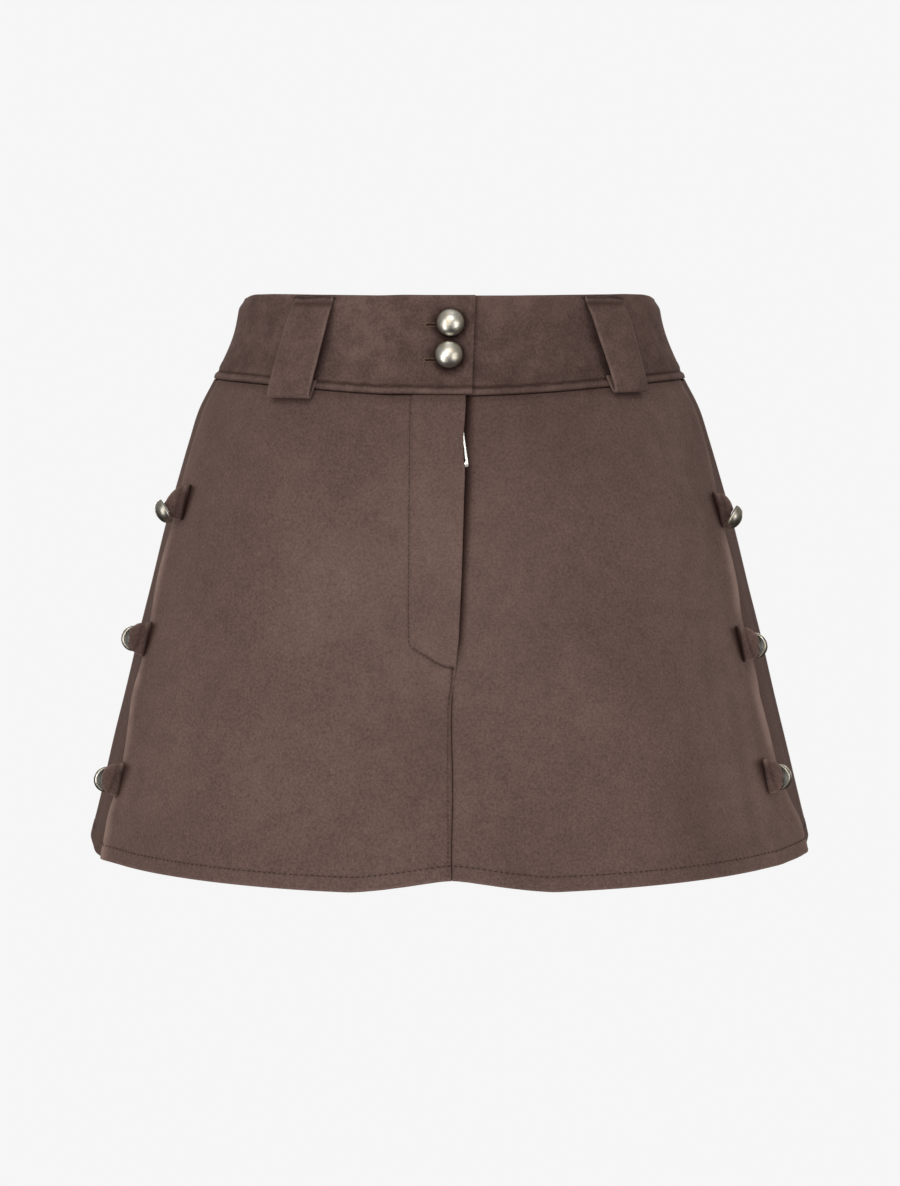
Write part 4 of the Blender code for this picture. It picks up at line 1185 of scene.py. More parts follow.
# name, node, left edge, right edge, whether it laps over, about how long
BAND_PIECES = (
    ("band_front_l", "waistband_front_l", side_seam(-BAND_SEAM + 0.01), lap_end, 1.0, 165.0),
    ("band_front_r", "waistband_front_r", lambda z: angle_of_x(LAP_UNDER, z), side_seam(BAND_SEAM - 0.01),
     0.0, 170.0),
    ("band_back", "waistband_back", side_seam(BAND_SEAM + 0.01), side_seam(360 - BAND_SEAM - 0.01),
     0.0, 380.0),
)  # fmt: skip
for name, node, left_edge, right_edge, lapped, width in BAND_PIECES:
    across = shares(width, 2.4, ((0.0, 5.0, 0.8), (width, 5.0, 0.8)))
    angle, z = panel(left_edge, right_edge, lambda a: band_top(as_signed(a)),
                     lambda a: seam_height(as_signed(a)), across, DOWN_BAND)
    grid = skin(angle, z, band_lift(as_signed(angle), z, lapped))
    piece = cloth_from(name, grid, SUEDE, **band_nap_and_shade(as_signed(angle), z, lapped))
    give_thickness(piece, BAND_THICK - 0.1, 0.8, segments=3)
    smooth_by_angle(piece)
    dress(piece, node)

# %% [markdown]
# ## Belt loops
#
# Each loop is a doubled strip, slightly slanted. It is sewn on under the band's top edge, stands off the
# band to let a belt through, and turns under at the bottom. One smooth curve through the solid's own
# path gives its line; the strip bows a little across, because its folded edges are stiffer.

# %% Form the loops
# share of the length down, how far off the band
LOOP_PATH = np.array([
    (0.035, 1.15), (0.09, 1.5), (0.15, 3.2), (0.22, 5.2), (0.30, 6.8), (0.42, 7.8), (0.56, 8.0),
    (0.74, 7.4), (0.90, 6.2), (0.97, 5.2), (1.0, 3.9), (0.985, 2.5), (0.94, 1.9), (0.83, 1.75),
])  # fmt: skip


def smooth_path(points, count):
    """A Catmull-Rom curve through the points, evenly spaced."""
    points = np.asarray(points, float)
    padded = np.concatenate([[2 * points[0] - points[1]], points, [2 * points[-1] - points[-2]]])
    fine = []
    for before, start, end, after in zip(padded, padded[1:], padded[2:], padded[3:]):
        t = np.linspace(0, 1, 12, endpoint=False)[:, None]
        fine.append(0.5 * (2 * start + (end - before) * t + (2 * before - 5 * start + 4 * end - after) * t**2
                           + (3 * start - before - 3 * end + after) * t**3))
    fine = np.concatenate([*fine, padded[-2:-1]])
    run = np.concatenate([[0], np.cumsum(np.linalg.norm(np.diff(fine, axis=0), axis=1))])
    even = np.linspace(0, run[-1], count)
    return np.stack([np.interp(even, run, fine[:, k]) for k in range(fine.shape[1])], -1)


def arc_of_degree(angle, z):
    """The length of one degree of the surface, in mm."""
    return np.linalg.norm(base_point(angle + 0.5, z) - base_point(angle - 0.5, z), axis=-1)


def loop_grid(angle, top_width, bottom_width, length):
    """Rows across the strip, from its root under the band's top to the end that is turned under."""
    path = smooth_path(LOOP_PATH * (length, 1.0), 74)
    across = np.linspace(-1, 1, 15)
    rows = []
    for drop, out in path:
        z = -drop
        half = (top_width + (bottom_width - top_width) * drop / length) / 2
        bow = 0.35 * (1 - across**2) * ease(out, 1.5, 6.0) - 0.25 * ease(abs(across), 0.85, 1.0)
        wave = 0.2 * np.sin(drop * 0.21 + across * 2.0 + angle)
        places = angle + across * half / arc_of_degree(angle, z)
        rows.append(skin(places, z + 0 * across, BAND_PROUD + out + bow + wave * 0.5))
    return np.array(rows)


for node, angle, top_width, bottom_width, length in LOOPS:
    grid = loop_grid(angle, top_width, bottom_width, length)
    edge = abs(np.linspace(-1, 1, grid.shape[1]))[None, :]
    drop = np.linspace(0.0, 1.0, len(grid))[:, None]
    # Painted shade just below the loop's stitched root and at its very top; a painted highlight along its
    # edges.
    hollow = 0.5 * near(drop - 0.075, 0.05) + 0.35 * (1 - ease(drop, 0.0, 0.03)) + 0.12
    piece = cloth_from(node.replace("belt_loop", "loop"), grid, SUEDE, rub=0.28 * ease(edge, 0.85, 1.0),
                       pressed=hollow, brushed=0.6)
    give_thickness(piece, 1.5, 0.6, offset=0.0, segments=3)
    smooth_by_angle(piece)
    dress(piece, node)

# %% [markdown]
# ## Sewing on the suede
#
# Rows of stitches now go where the grooves are. Each path is worked out on the same lifted surface as
# the cloth, a hair above the groove's floor, so the thread lies half sunk in the nap.


# %% Lay the rows of stitches
def path_on(angle, z, lift_of, raise_by=0.12):
    """Places just off the lifted surface, and the direction off the cloth at each."""
    angle, z = np.broadcast_arrays(np.asarray(angle, float), np.asarray(z, float))
    return skin(angle, z, lift_of(angle, z) + raise_by), outward(angle, z)


def line_on(path, lift_of, count=80):
    """A path given by x and height on the front."""
    places = smooth_path(path, count)
    return path_on(angle_of_x(places[:, 0], places[:, 1]), places[:, 1], lift_of)


def hem_row(start, end, lift_of, count):
    """A row above the hem, from one angle to another."""
    angle = np.linspace(start, end, count)
    return path_on(angle, hem_height(angle) + HEM_STITCH, lift_of)


def band_row(start, end, lapped, count):
    """A row above the waist seam."""
    angle = np.linspace(start, end, count)
    signed = as_signed(angle)
    z = seam_height(signed) + BAND_STITCH
    return skin(angle, z, band_lift(signed, z, lapped) + 0.15), outward(angle, z)


def back_row(angle):
    return path_on(np.full(200, angle), np.linspace(-55, -330, 200), back_lift)


def loop_row(angle, top_width, off):
    """One of two rows across a loop's root, a little longer than the loop is wide."""
    drop, across = 3.4, np.linspace(-1, 1, 30)
    angle = angle + across * (top_width / 2 + 1.0) / arc_of_degree(angle, -drop)
    z = -drop + off + 0.3 * np.sin(across * 5.0)
    out = 1.9 - 1.0 * ease(abs(across), 0.86, 0.95)
    return skin(angle, z, BAND_PROUD + out), outward(angle, z)


hem_rows = [
    hem_row(-71.5, 0.0, left_front_lift, 260), hem_row(0.85, 76.5, right_front_lift, 260),
    hem_row(84.0, 179.6, back_lift, 300), hem_row(-179.6, -84.0, back_lift, 300),
]  # fmt: skip
band_rows = [band_row(-91.6, 4.6, 1.0, 260), band_row(6.4, 91.6, 0.0, 240), band_row(92.4, 267.6, 0.0, 500)]
loop_rows = [loop_row(angle, width, off) for _, angle, width, _, _ in LOOPS for off in (-0.35, 0.35)]
sew("stitches_hem", hem_rows, 3.3, 2.1, 0.8)
sew("stitches_fly", [line_on(FLY_STITCH, left_front_lift, 160)], 2.6, 2.0, 0.5)
sew("stitches_centre_front", [line_on(SEAM_STITCH, left_front_lift, 120)], 2.6, 2.0, 0.45)
sew("stitches_band", band_rows, 2.7, 2.2, 0.55)
sew("stitches_centre_back", [back_row(179.24), back_row(-179.24)], 2.6, 2.0, 0.45)
sew("stitches_loops", loop_rows, 1.5, 1.7, 0.8)

# %% [markdown]
# ## Dome buttons
#
# A dome button is a half-ball, pressed from sheet, with a rolled rim and a shank or a hollow back. It is
# a shape of turning, so a short profile is swept round its axis. The band's two have shanks; the side
# ones are hollow behind with a small post, and that side shows where a button hangs edge-on.


# %% Turn the domes
def turned(name, profile, place, axis, material, back=None, steps=56):
    """Sweeps (radius, height) pairs round an axis. From the ring number `back` on it is toned."""
    turn = Vector([float(part) for part in axis]).to_track_quat("Z", "Y").to_matrix()
    spin = [math.radians(360 * i / steps) for i in range(steps)]
    points = []
    for radius, height in profile[1:-1]:
        points += [(radius * math.cos(a), radius * math.sin(a), height) for a in spin]
    rings = len(profile) - 2
    points += [(0, 0, profile[0][1]), (0, 0, profile[-1][1])]
    top, foot, last = rings * steps, rings * steps + 1, (rings - 1) * steps
    faces = grid_faces(rings, steps, closed=True)
    faces += [(top, c, (c + 1) % steps) for c in range(steps)]
    faces += [(foot, last + (c + 1) % steps, last + c) for c in range(steps)]
    points = np.array([turn @ Vector(point) for point in points]) + np.asarray(place)
    made = mesh_object(name, points, faces, material)
    # Darker towards the rim: toning, and a painted dark reflection and shade round the dome's edge, weaker on
    # the side domes.
    rims = np.array([radius for radius, _ in profile[1:-1]]) / max(radius for radius, _ in profile)
    patina_and_rim_shade = np.r_[np.repeat(0.95 * ease(rims, 0.85, 0.995), steps), 0.0, 0.0]
    give_attribute(made.data, "patina_and_rim_shade", patina_and_rim_shade * (1.0 if back is None else 0.35))
    if back:
        made.data.materials.append(TONED)
        for face in made.data.polygons:
            ring = face.index // steps
            face.material_index = int(back <= ring < rings - 1 or ring == rings)
    return smooth_by_angle(made, 35)


def arc(radius, height, start, end, count):
    """Points of an ellipse's arc, in degrees up from its widest."""
    turns = np.radians(np.linspace(start, end, count))
    return [(radius * math.cos(t), height * math.sin(t)) for t in turns]


def dome(radius, height, hollow):
    """A half-ball's profile from the top down: dome, rolled rim, and its back."""
    rim = 1.3
    profile = [(0.0, height)] + [(r, rim + h) for r, h in arc(radius, height - rim, 86, 0, 24)]
    profile += [(radius - 0.12, 0.75), (radius - 0.4, 0.3), (radius - 0.8, 0.06), (radius - 1.15, 0.1),
                (radius - 1.35, 0.4)]  # fmt: skip
    if hollow:
        profile += [(radius - 1.6, 0.8), (radius - 3.0, 1.4), (2.6, 1.7), (2.1, 1.5), (2.0, 0.35),
                    (1.6, 0.05)]  # fmt: skip
    else:
        profile += [(3.4, 0.5)]
    return profile + [(0.0, 0.0 if hollow else 0.5)]


DOME_RING, DROOP, STEM = 28, math.radians(29.0), 1.5
for node, x, z in FRONT_BUTTONS:
    angle = float(angle_of_x(x, z))
    axis = outward(angle, z)
    foot = skin(angle, z, band_lift(np.array(angle), np.array(z), 1.0) + GAP)
    profile = [(r, h + STEM) for r, h in dome(BUTTON_RADIUS, 8.2, False)[:-1]]
    profile += [(2.6, STEM + 0.4), (2.4, 0.3), (2.7, 0.0), (0.0, 0.0)]
    piece = turned(node.replace("front_button", "dome_front"), profile, foot, axis, SILVER)
    dress(piece, node)
for name, angle, z, reach, rise, hangs in CLOSURES:
    foot, _, heading, backward, _ = closure_frame(angle, z)
    middle = foot + heading * reach + UPRIGHT * rise
    if hangs == "endways":
        axis = unit(heading * (1.0, 0.3, 1.0)) * math.cos(DROOP) - UPRIGHT * math.sin(DROOP)
    else:
        axis = backward
        middle = middle + backward * (TAB_THICK / 2 + GAP)
    profile = dome(SIDE_BUTTON_RADIUS, 7.2, True)
    piece = turned("dome_" + name, profile, middle, axis, SILVER, back=DOME_RING)
    dress(piece, "side_button_" + name)
print("domes:", 2 + len(CLOSURES))

# %% [markdown]
# ## Tongues
#
# A tongue is a short doubled strip, sewn to the back's margin, that narrows to a neck for its button. A
# few stations give its outline, smooth curves join them, and it is cupped a little across, as a strip
# pulled through a slit is.


# %% Form the tongues
def tongue_rows(angle, z, reach, rise, hangs):
    """Middle, half width and slope at stations along a tongue."""
    _, square, heading, _, _ = closure_frame(angle, z)
    endways = hangs == "endways"
    tip = reach - GAP if endways else reach + 3.8
    widths = ((0.3, 0.94), (0.6, 0.76), (0.8, 0.6), (1.0, 0.46)) if endways else (
        (0.25, 0.99), (0.45, 0.93), (0.64, 0.82), (0.82, 0.66), (0.93, 0.48), (1.0, 0.26))
    shoulder = 3.0
    rows = [(GAP - UNDERLAP, 0.0, 1.0, 0.0), (0.6, 0.0, 1.0, 0.0), (shoulder, 0.0, 1.0, 0.0)]
    for share, width in widths:
        bent = float(ease(share, -0.2, 1.0))
        slope = DROOP * bent if endways else 0.0
        rows.append((shoulder + (tip - shoulder) * share, rise * bent, width, slope))
    return smooth_path(rows, 26), square[2] / (square @ heading)


def tongue_grid(angle, z, reach, rise, hangs):
    """The tongue's points, and how far each is outside the front's cloth."""
    foot, _, heading, backward, side = closure_frame(angle, z)
    rows, fall = tongue_rows(angle, z, reach, rise, hangs)
    across = np.linspace(0.5, -0.5, 13)
    grid, off = [], []
    for out, up, share, slope in rows:
        width = TAB_WIDTH * share
        lean = math.sin(slope) * width + (-fall * width if out < 0.2 else 0.0)
        cup = -1.5 * (1 - 4 * across**2) * ease(out, 1.0, 4.0)
        curl = 0.5 * np.sin(across * 7.0 + out * 0.5) * ease(out, 1.5, 5.0)
        grid.append(foot + heading * (out + lean * across[:, None])
                    + UPRIGHT * (up + math.cos(slope) * width * across[:, None])
                    + backward * ((cup + 0.3 * curl) * 0.55)[:, None])
        off.append(out + (lean + fall * width) * across - 1.0)
    return np.array(grid)[:, :: int(side)], np.array(off)[:, :: int(side)]


for row in CLOSURES:
    grid, off = tongue_grid(*row[1:])
    up = np.linspace(1, -1, grid.shape[1])[None, :: 1 if row[1] > 0 else -1]
    # A painted highlight on the tongue's folded top corner and along its upper and lower edges; painted shade
    # where it goes into its slit, and along a fold across it.
    rub = 0.4 * ease(abs(up), 0.8, 1.0) + 0.45 * ease(up, 0.4, 0.9) * near(off - 2.8, 3.5)
    pressed = 0.14 + 0.86 * (1 - ease(off, 0.0, 2.2)) + 0.32 * near(off - 6.0 + 1.5 * up, 2.2)
    piece = cloth_from("tongue_" + row[0], grid, SUEDE, rub=rub, pressed=pressed, brushed=0.5)
    give_thickness(piece, 1.6, 0.6, offset=0.0, segments=3)
    smooth_by_angle(piece)
    dress(piece, "side_tab_" + row[0])

# %% [markdown]
# ## Zip
#
# A zip is two woven tapes, each with a row of teeth that mesh. The teeth repeat, so Geometry Nodes set
# them along the tape's line, one row for each side. The slider rides on them, and its pull hangs from a
# small arch. Only the pull's edge shows, beside the fly.

# %% Tape and teeth
ZIP_X, ZIP_TOP, ZIP_BOTTOM, TAPE_OUT, TAPE_HALF = 4.2, -61.5, -196.0, -1.9, 12.5
TEETH_END, TOOTH_PITCH, TOOTH_SIZE = -176.0, 2.2, (0.85 * MM, 3.1 * MM, 1.4 * MM)


def tape_grid():
    """Both tapes, with the bead along each one's inner edge that carries its teeth."""
    heights = np.linspace(ZIP_TOP, ZIP_BOTTOM, 60)[:, None]
    across = np.linspace(-TAPE_HALF, TAPE_HALF, 20)[None, :]
    middle = angle_of_x(ZIP_X, heights)
    angle = middle + across / arc_of_degree(middle, heights)
    z = heights + 0 * across
    bead = 0.35 * near(abs(across) - 2.6, 0.9)
    return skin(angle, z, TAPE_OUT + bead + 0 * z)


grid = tape_grid()
tape = give_thickness(cloth_from("zip_tape", grid, TAPE), 0.6, 0.0)
dress(tape, "zip_chain")


def make_teeth_tree():
    """A tooth is a small block with a rounded head."""
    tree, given = new_tree("teeth_along_a_zip", (("Tooth size", "Vector"),))
    block = {"Size": given.outputs["Tooth size"], "Vertices X": 2, "Vertices Y": 3, "Vertices Z": 2}
    tooth = add_node(tree, "GeometryNodeMeshCube", block)
    rounded = {"Mesh": tooth, "Level": 1, "Edge Crease": 0.55}
    stand_on_path(tree, given, {"Instance": add_node(tree, "GeometryNodeSubdivisionSurface", rounded)})
    return tree


TEETH = make_teeth_tree()


def zip_teeth(name, x_off, phase):
    heights = np.linspace(ZIP_TOP - 3 - phase, TEETH_END - phase, 90)
    angle = angle_of_x(ZIP_X + x_off, heights)
    path = skin(angle, heights, np.full(90, TAPE_OUT + 0.75)), outward(angle, heights)
    inputs = {"Pitch": TOOTH_PITCH * MM, "Tooth size": TOOTH_SIZE, "Material": NICKEL}
    return dress(repeat_along(name, [path], TEETH, inputs), None)


teeth = [zip_teeth("zip_teeth_l", -1.1, 0.0), zip_teeth("zip_teeth_r", 1.1, TOOTH_PITCH / 2)]
print("zip teeth:", sum(len(row.data.polygons) for row in teeth), "faces")

# %% [markdown]
# ## Slider and pull
#
# The slider's solid already has the right shape, so it stays and only gets its metal. The pull is a flat
# loop cut from plate. It is made again with rounded edges, and it rides on its own body, because it is
# the one hard piece that turns.

# %% Slider and pull
SLIDER_HEIGHT, PULL_LONG, PULL_WIDTH, PULL_THICK, PULL_RIM = -76.6, 27.0, 6.6, 1.0, 1.3
PULL_TILT, PULL_OFF, PULL_RISE = math.radians(8.0), 1.9, 0.35
PULL_WINDOWS = ((0.55, 4.6), (6.2, PULL_LONG - 3.0))  # from and to, below the pivot

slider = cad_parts["zip_slider"].data
slider.materials.clear()
slider.materials.append(NICKEL)


def zip_frame(z):
    """A place on the zip, and the ways to the right, down and out."""
    angle = angle_of_x(ZIP_X, z)
    out = outward(angle, z)
    down = unit(base_point(angle_of_x(ZIP_X, z - 1), z - 1) - base_point(angle_of_x(ZIP_X, z + 1), z + 1))
    return base_point(angle, z), unit(np.cross(out, down)), down, out


def rounded_box(width, long, radius, steps=6):
    """Corners of a rounded rectangle, about its middle."""
    corners = []
    for sx, sy, start in ((1, 1, 0), (-1, 1, 90), (-1, -1, 180), (1, -1, 270)):
        for i in range(steps + 1):
            turn = math.radians(start + 90 * i / steps)
            corners.append((sx * (width / 2 - radius) + radius * math.cos(turn),
                            sy * (long / 2 - radius) + radius * math.sin(turn)))
    return corners


def mesh_of_curve(name, curve, material):
    """The mesh of a curve with its thickness."""
    flat = add_object(name, curve)
    mesh = bpy.data.meshes.new_from_object(flat.evaluated_get(bpy.context.evaluated_depsgraph_get()))
    bpy.data.objects.remove(flat)
    mesh.materials.clear()
    mesh.materials.append(material)
    return mesh


def pull_outline():
    """A flat curve, filled between its outline and its windows, with a rounded edge."""
    outline = bpy.data.curves.new("pull_outline", "CURVE")
    outline.dimensions, outline.fill_mode = "2D", "BOTH"
    outline.extrude, outline.bevel_depth, outline.bevel_resolution = 0.28 * MM, 0.2 * MM, 2
    rings = [(rounded_box(PULL_WIDTH, PULL_LONG, 1.6), PULL_LONG / 2 - PULL_THICK / 2)]
    for start, end in PULL_WINDOWS:
        rings.append((rounded_box(PULL_WIDTH - 2 * PULL_RIM, end - start, 1.1), (start + end) / 2))
    for corners, middle in rings:
        spline = outline.splines.new("POLY")
        spline.points.add(len(corners) - 1)
        for point, (x, y) in zip(spline.points, corners):
            point.co = (x * MM * 0.97, (y - middle) * MM, 0.0, 1.0)
        spline.use_cyclic_u = True
    return outline


def close_up(loose):
    bmesh.ops.remove_doubles(loose, verts=loose.verts, dist=1e-6)
    face_outwards(loose)


def make_pull():
    """A rounded plate with an eye at the top and a long window, lying off the tape."""
    place, right, down, out = zip_frame(SLIDER_HEIGHT)
    along = down * math.cos(PULL_TILT) + right * math.sin(PULL_TILT)
    across = right * math.cos(PULL_TILT) - down * math.sin(PULL_TILT)
    face = unit(out + along * (PULL_RISE / PULL_LONG))
    along = unit(along - face * (along @ face))
    mesh = mesh_of_curve("pull_flat", pull_outline(), NICKEL)
    turn = Matrix([[float(v[i]) for v in (across, -along, face)] for i in range(3)]).to_4x4()
    mesh.transform(Matrix.Translation(Vector(place + out * PULL_OFF) * MM) @ turn)
    edit_mesh(mesh, close_up)
    return smooth_by_angle(add_object("pull_plate", mesh), 35)


pull = dress(make_pull(), "zip_pull", PULL)
print("pull:", len(pull.data.polygons), "faces")

# %% [markdown]
# ## Buttonholes
#
# Each front button sits in a buttonhole that runs to its left: a slit edged all round with close zigzag
# thread, with a loose end or two. Only its outer end shows beside the dome.

# %% Work the buttonholes
# x where it starts and ends, height
BUTTONHOLES = ((-13.2, 3.0, -19.5), (-13.9, 2.0, -40.2))
HOLE_HALF = 0.9


def on_band(x, z, raised):
    """Places off the band's left end, and the direction off the cloth at each."""
    x, z = np.broadcast_arrays(np.asarray(x, float), np.asarray(z, float))
    angle = angle_of_x(x, z)
    return skin(angle, z, band_lift(angle, z, 1.0) + raised), outward(angle, z)


hole_rows = []
for start, end, z in BUTTONHOLES:
    for side in (-1, 1):
        x = np.linspace(start, end, 40)
        hole_rows.append(on_band(x, z + side * HOLE_HALF + 0.12 * np.sin(x * 2.1), 0.1))
    bar = np.linspace(-1.3, 1.3, 12)
    hole_rows.append(on_band(np.full(12, start - 0.4), z + bar, 0.2))
sew("buttonhole_edges", hole_rows, 0.62, 0.75, 0.7, HOLE_THREAD)


def dark_slit(name, start, end, z):
    """The opening itself: a strip of suede painted in full shade, for the shadow inside the slit."""
    x, up = np.meshgrid(np.linspace(start, end, 16), np.linspace(HOLE_HALF * 0.8, -HOLE_HALF * 0.8, 5))
    made = cloth_from(name, on_band(x, z + up, 0.14)[0], SUEDE, pressed=1.0)
    dress(give_thickness(made, 0.25, 0.0), None)


for number, (start, end, z) in enumerate(BUTTONHOLES, 1):
    dark_slit(f"buttonhole_slit_{number}", start, end, z)

# each loose end of thread: x, height and how far off the band, from its root to its tip
THREAD_ENDS = (
    ((-13.9, -19.4, 0.3), (-15.4, -18.7, 0.9), (-16.4, -19.6, 0.5)),
    ((-14.6, -40.0, 0.3), (-16.8, -39.0, 1.0), (-18.0, -40.6, 0.6)),
    ((-14.8, -40.6, 0.3), (-14.9, -43.5, 0.9), (-14.0, -46.0, 0.4)),
)
THREAD_END_WIDTH = 0.45


def thread_end(name, places):
    """A loose end of thread, as a thin tube along a curve."""
    line = bpy.data.curves.new(name, "CURVE")
    line.dimensions, line.bevel_depth, line.bevel_resolution = "3D", THREAD_END_WIDTH / 2 * MM, 2
    line.use_fill_caps = True
    spline = line.splines.new("POLY")
    points = smooth_path([on_band(x, z, raised)[0] for x, z, raised in places], 24)
    spline.points.add(len(points) - 1)
    for point, place in zip(spline.points, points):
        point.co = (*[float(v) * MM for v in place], 1.0)
    mesh = mesh_of_curve(name + "_line", line, HOLE_THREAD)
    mesh.shade_smooth()
    dress(add_object(name, mesh), None)


for number, places in enumerate(THREAD_ENDS, 1):
    thread_end(f"thread_end_{number}", places)
print("buttonholes:", len(BUTTONHOLES), "thread ends:", len(THREAD_ENDS))

# %% [markdown]
# ## Inner shorts
#
# Hidden in the photograph, but a skort has them: two legs of plain jersey that hang from the waist seam,
# meet at a crotch and end above the skirt's hem. Each leg is a tube whose outer half follows the skirt,
# and the middle plane cuts away what would be inside the other leg.

# %% Cut the shorts
# height, inset at the side, inset in front and behind, x of the leg's foremost point, its inner half width
SHORTS = (
    (-46.0, 2.7, 2.7, 0.0, 60.0), (-49.0, 2.7, 2.7, 0.0, 60.0), (-52.0, 4.4, 4.4, 0.0, 60.0),
    (-64.5, 6.5, 6.5, 0.0, 60.0), (-93.5, 9.0, 9.0, 0.0, 60.0), (-128.5, 11.0, 12.0, 0.0, 60.0),
    (-158.5, 14.0, 17.0, 8.0, 60.0), (-183.5, 18.0, 21.0, 38.0, 62.0), (-203.5, 22.0, 26.0, 60.0, 65.0),
    (-220.5, 26.0, 31.0, 72.0, 70.0), (-248.5, 33.0, 39.0, 79.0, 74.5), (-276.5, 40.0, 47.0, 82.0, 75.5),
    (-303.5, 47.0, 55.0, 84.0, 76.0),
)  # fmt: skip
SHORTS_TOP, SHORTS_BOTTOM = SHORTS[0][0], SHORTS[-1][0]
SHORTS_CLOTH, SHORTS_HEM = 1.0, 12.0


def shorts_grid(sign):
    """A leg's tube, all round, on the left (-1) or the right (1)."""
    long = SHORTS_TOP - SHORTS_BOTTOM
    heights = SHORTS_TOP - long * shares(long, 3.0, ((long, 18.0, 1.0),))[:, None]
    degrees = np.arange(0, 360, 3.0)[None, :]
    turn = np.radians(degrees)
    side_inset, depth_inset = column_at(SHORTS, 1, heights), column_at(SHORTS, 2, heights)
    foremost, inner = column_at(SHORTS, 3, heights), column_at(SHORTS, 4, heights)
    half_width = column_at(BODY, 1, heights)
    depth = np.where(np.cos(turn) > 0, column_at(BODY, 2, heights), column_at(BODY, 3, heights)) - depth_inset
    reach = np.where(np.sin(turn) >= 0, half_width - side_inset - foremost, inner)
    dip = seam_height(np.minimum(degrees, 360 - degrees)) + BAND_DEPTH
    z = heights + dip * (1 - ease(-heights, 60.0, 110.0))
    loose = ease(-heights, 120.0, 240.0)
    wave = 1.0 + loose * 0.006 * np.sin(turn * 5 + heights * 0.02 + sign)
    pinch = 1 - 0.004 * line_of(heights - SHORTS_BOTTOM - SHORTS_HEM, 1.2)
    x = foremost + reach * np.sin(turn) * wave * pinch
    y = -depth * np.cos(turn) * wave * pinch
    grid = np.stack([x * sign, y, z + 0 * turn], -1)
    return grid if sign > 0 else grid[:, ::-1]


def cut_at_middle(mesh, sign):
    """Cuts away what lies beyond the middle plane."""
    plane = {"plane_co": (sign * 0.2 * MM, 0, 0), "plane_no": (-sign, 0, 0), "clear_outer": True}
    edit_mesh(
        mesh, lambda leg: bmesh.ops.bisect_plane(leg, geom=[*leg.verts, *leg.edges, *leg.faces], **plane)
    )


for side, sign in (("l", -1), ("r", 1)):
    piece = cloth_from("leg_" + side, shorts_grid(sign), JERSEY, closed=True)
    cut_at_middle(piece.data, sign)
    give_thickness(piece, SHORTS_CLOTH, 0.3)
    smooth_by_angle(piece)
    dress(piece, "shorts_" + side)

# %% [markdown]
# ## Studio
#
# The photograph is a cut-out on near-white, lit softly from the front and both sides. The camera stands
# level with the garment and looks down by 5 degrees from 1.9 m. The world is pale to the camera and a
# soft grey gradient to everything else, so the polished domes show dark and light and not a white room.

# %% Camera
PIXEL_MM, PHOTO_HIGH, SENSOR = 0.62, 1186, 36.0
DISTANCE, ELEVATION, AIM_HEIGHT = 1.9, 5.0, -0.1846


def make_camera():
    """Its lens gives PIXEL_MM a pixel at the garment's middle plane."""
    data = bpy.data.cameras.new("camera")
    data.sensor_width = SENSOR
    data.lens = SENSOR * DISTANCE / (PHOTO_HIGH * PIXEL_MM * MM)
    data.shift_x = 0.5 / PHOTO_HIGH
    camera = add_object("camera", data)
    tilt = math.radians(ELEVATION)
    camera.location = (0.0, -DISTANCE * math.cos(tilt), AIM_HEIGHT + DISTANCE * math.sin(tilt))
    camera.rotation_euler = (math.radians(90) - tilt, 0.0, 0.0)
    bpy.context.scene.camera = camera
    return camera


print("lens", round(make_camera().data.lens, 1), "mm")

# %% Lights, world and floor
PALE, FLOOR_HALF, FLOOR_HEIGHT = "#F6F6F6", 9000, -900
# name, place, power, width, height
LIGHTS = (
    ("key", (-0.9, -2.3, 0.6), 17.0, 1.5, 1.0),
    ("fill", (1.5, -2.0, -0.1), 16.4, 0.9, 1.5),
    ("low_left", (-1.5, -1.9, -0.6), 18.6, 0.9, 1.5),
    ("overhead", (0.0, -0.2, 2.2), 4.0, 1.6, 1.6),
    ("card_for_domes", (0.0, -1.45, 1.15), 9.0, 0.9, 0.5),
    ("back_left", (-1.0, 2.3, 0.3), 18.0, 1.2, 1.6),
    ("back_right", (1.0, 2.3, 0.3), 18.0, 1.2, 1.6),
)


def area_light(name, place, power, width, height):
    """A soft white panel that faces the garment."""
    data = bpy.data.lights.new(name, "AREA")
    data.shape, data.size, data.size_y, data.energy = "RECTANGLE", width, height, power
    light = add_object(name, data)
    light.location = place
    aim = Vector((0.0, 0.0, AIM_HEIGHT)) - Vector(place)
    light.rotation_euler = aim.to_track_quat("-Z", "Y").to_euler()
    return light


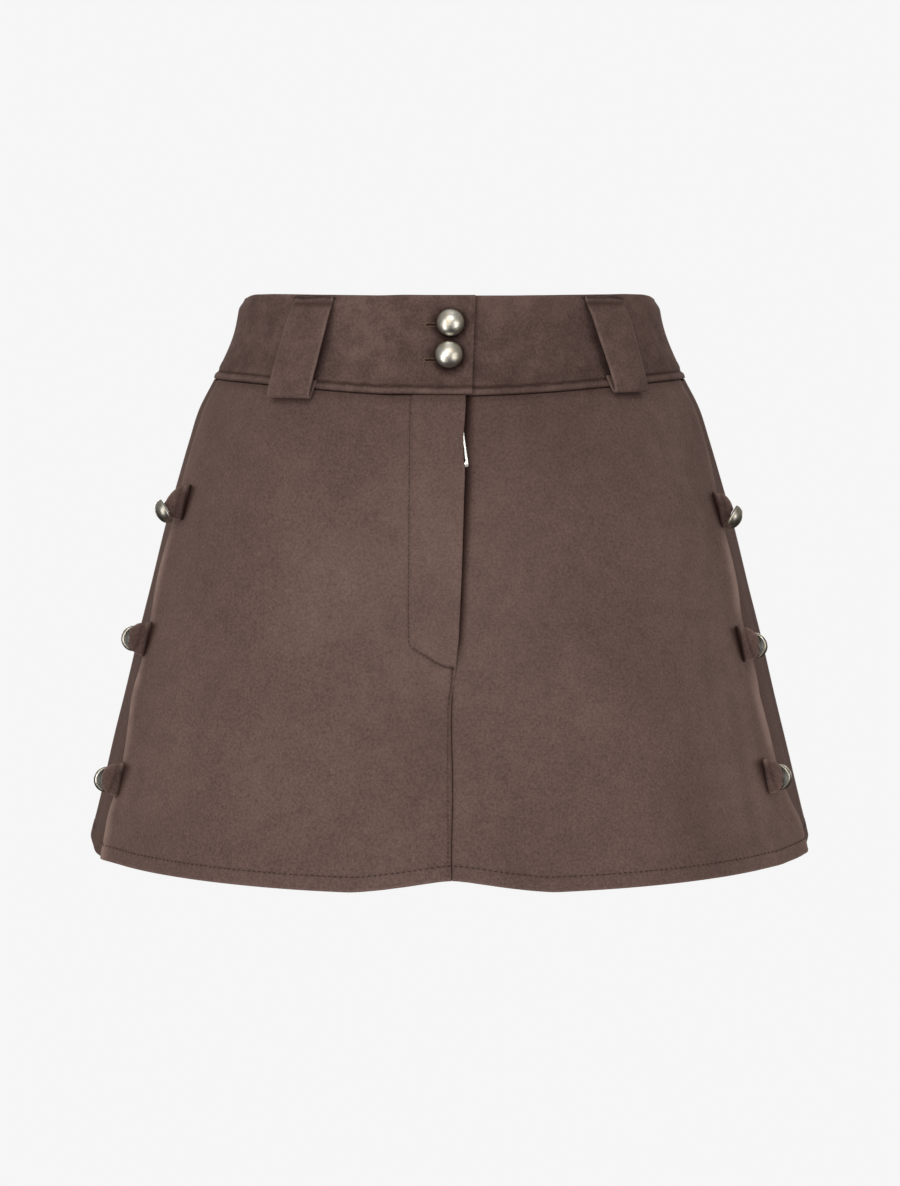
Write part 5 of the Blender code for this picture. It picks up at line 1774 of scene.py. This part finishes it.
lights = {row[0]: area_light(*row) for row in LIGHTS}
lights["card_for_domes"].visible_diffuse = False  # only the metal shows it
print("lights:", len(lights))


def make_world():
    """Pale to the camera, a darker gradient to what is polished, and plain grey to the cloth."""
    world = bpy.data.worlds.new("studio")
    world.use_nodes = True
    bpy.context.scene.world = world
    tree = world.node_tree
    tree.nodes.clear()
    direction = add_node(tree, "ShaderNodeTexCoord").outputs["Generated"]
    height = add_node(tree, "ShaderNodeSeparateXYZ", {"Vector": direction}).outputs["Z"]
    rise = add_node(tree, "ShaderNodeMapRange", {"Value": height, "From Min": -0.5, "From Max": 0.7})
    path = add_node(tree, "ShaderNodeLightPath")
    colour = linear("#B7B5B2")
    for share, low, high in ((path.outputs["Is Glossy Ray"], "#171412", "#94938F"),
                             (path.outputs["Is Camera Ray"], PALE, PALE)):
        inputs = {0: rise, 6: linear(low), 7: linear(high)}
        seen = add_node(tree, "ShaderNodeMix", inputs, data_type="RGBA").outputs[2]
        inputs = {0: share, 6: colour, 7: seen}
        colour = add_node(tree, "ShaderNodeMix", inputs, data_type="RGBA").outputs[2]
    shine = add_node(tree, "ShaderNodeBackground", {"Color": colour, "Strength": 1.0})
    add_node(tree, "ShaderNodeOutputWorld", {"Surface": shine.outputs[0]})


def make_floor():
    """A wide pale floor below the garment, which throws no light or shade on it."""
    corners = [
        (x * FLOOR_HALF, y * FLOOR_HALF, FLOOR_HEIGHT) for x, y in ((-1, -1), (1, -1), (1, 1), (-1, 1))
    ]
    floor = mesh_object("floor", corners, [(0, 1, 2, 3)], None)
    paint = bpy.data.materials.new("pale_studio_floor")
    paint.use_nodes = True
    tree = paint.node_tree
    tree.nodes.clear()
    glow = add_node(tree, "ShaderNodeEmission", {"Color": linear(PALE), "Strength": 1.0})
    add_node(tree, "ShaderNodeOutputMaterial", {"Surface": glow.outputs[0]})
    floor.data.materials.clear()
    floor.data.materials.append(paint)
    floor.visible_diffuse = floor.visible_glossy = floor.visible_shadow = False


make_world()
make_floor()
bpy.context.scene.view_settings.view_transform = "Standard"
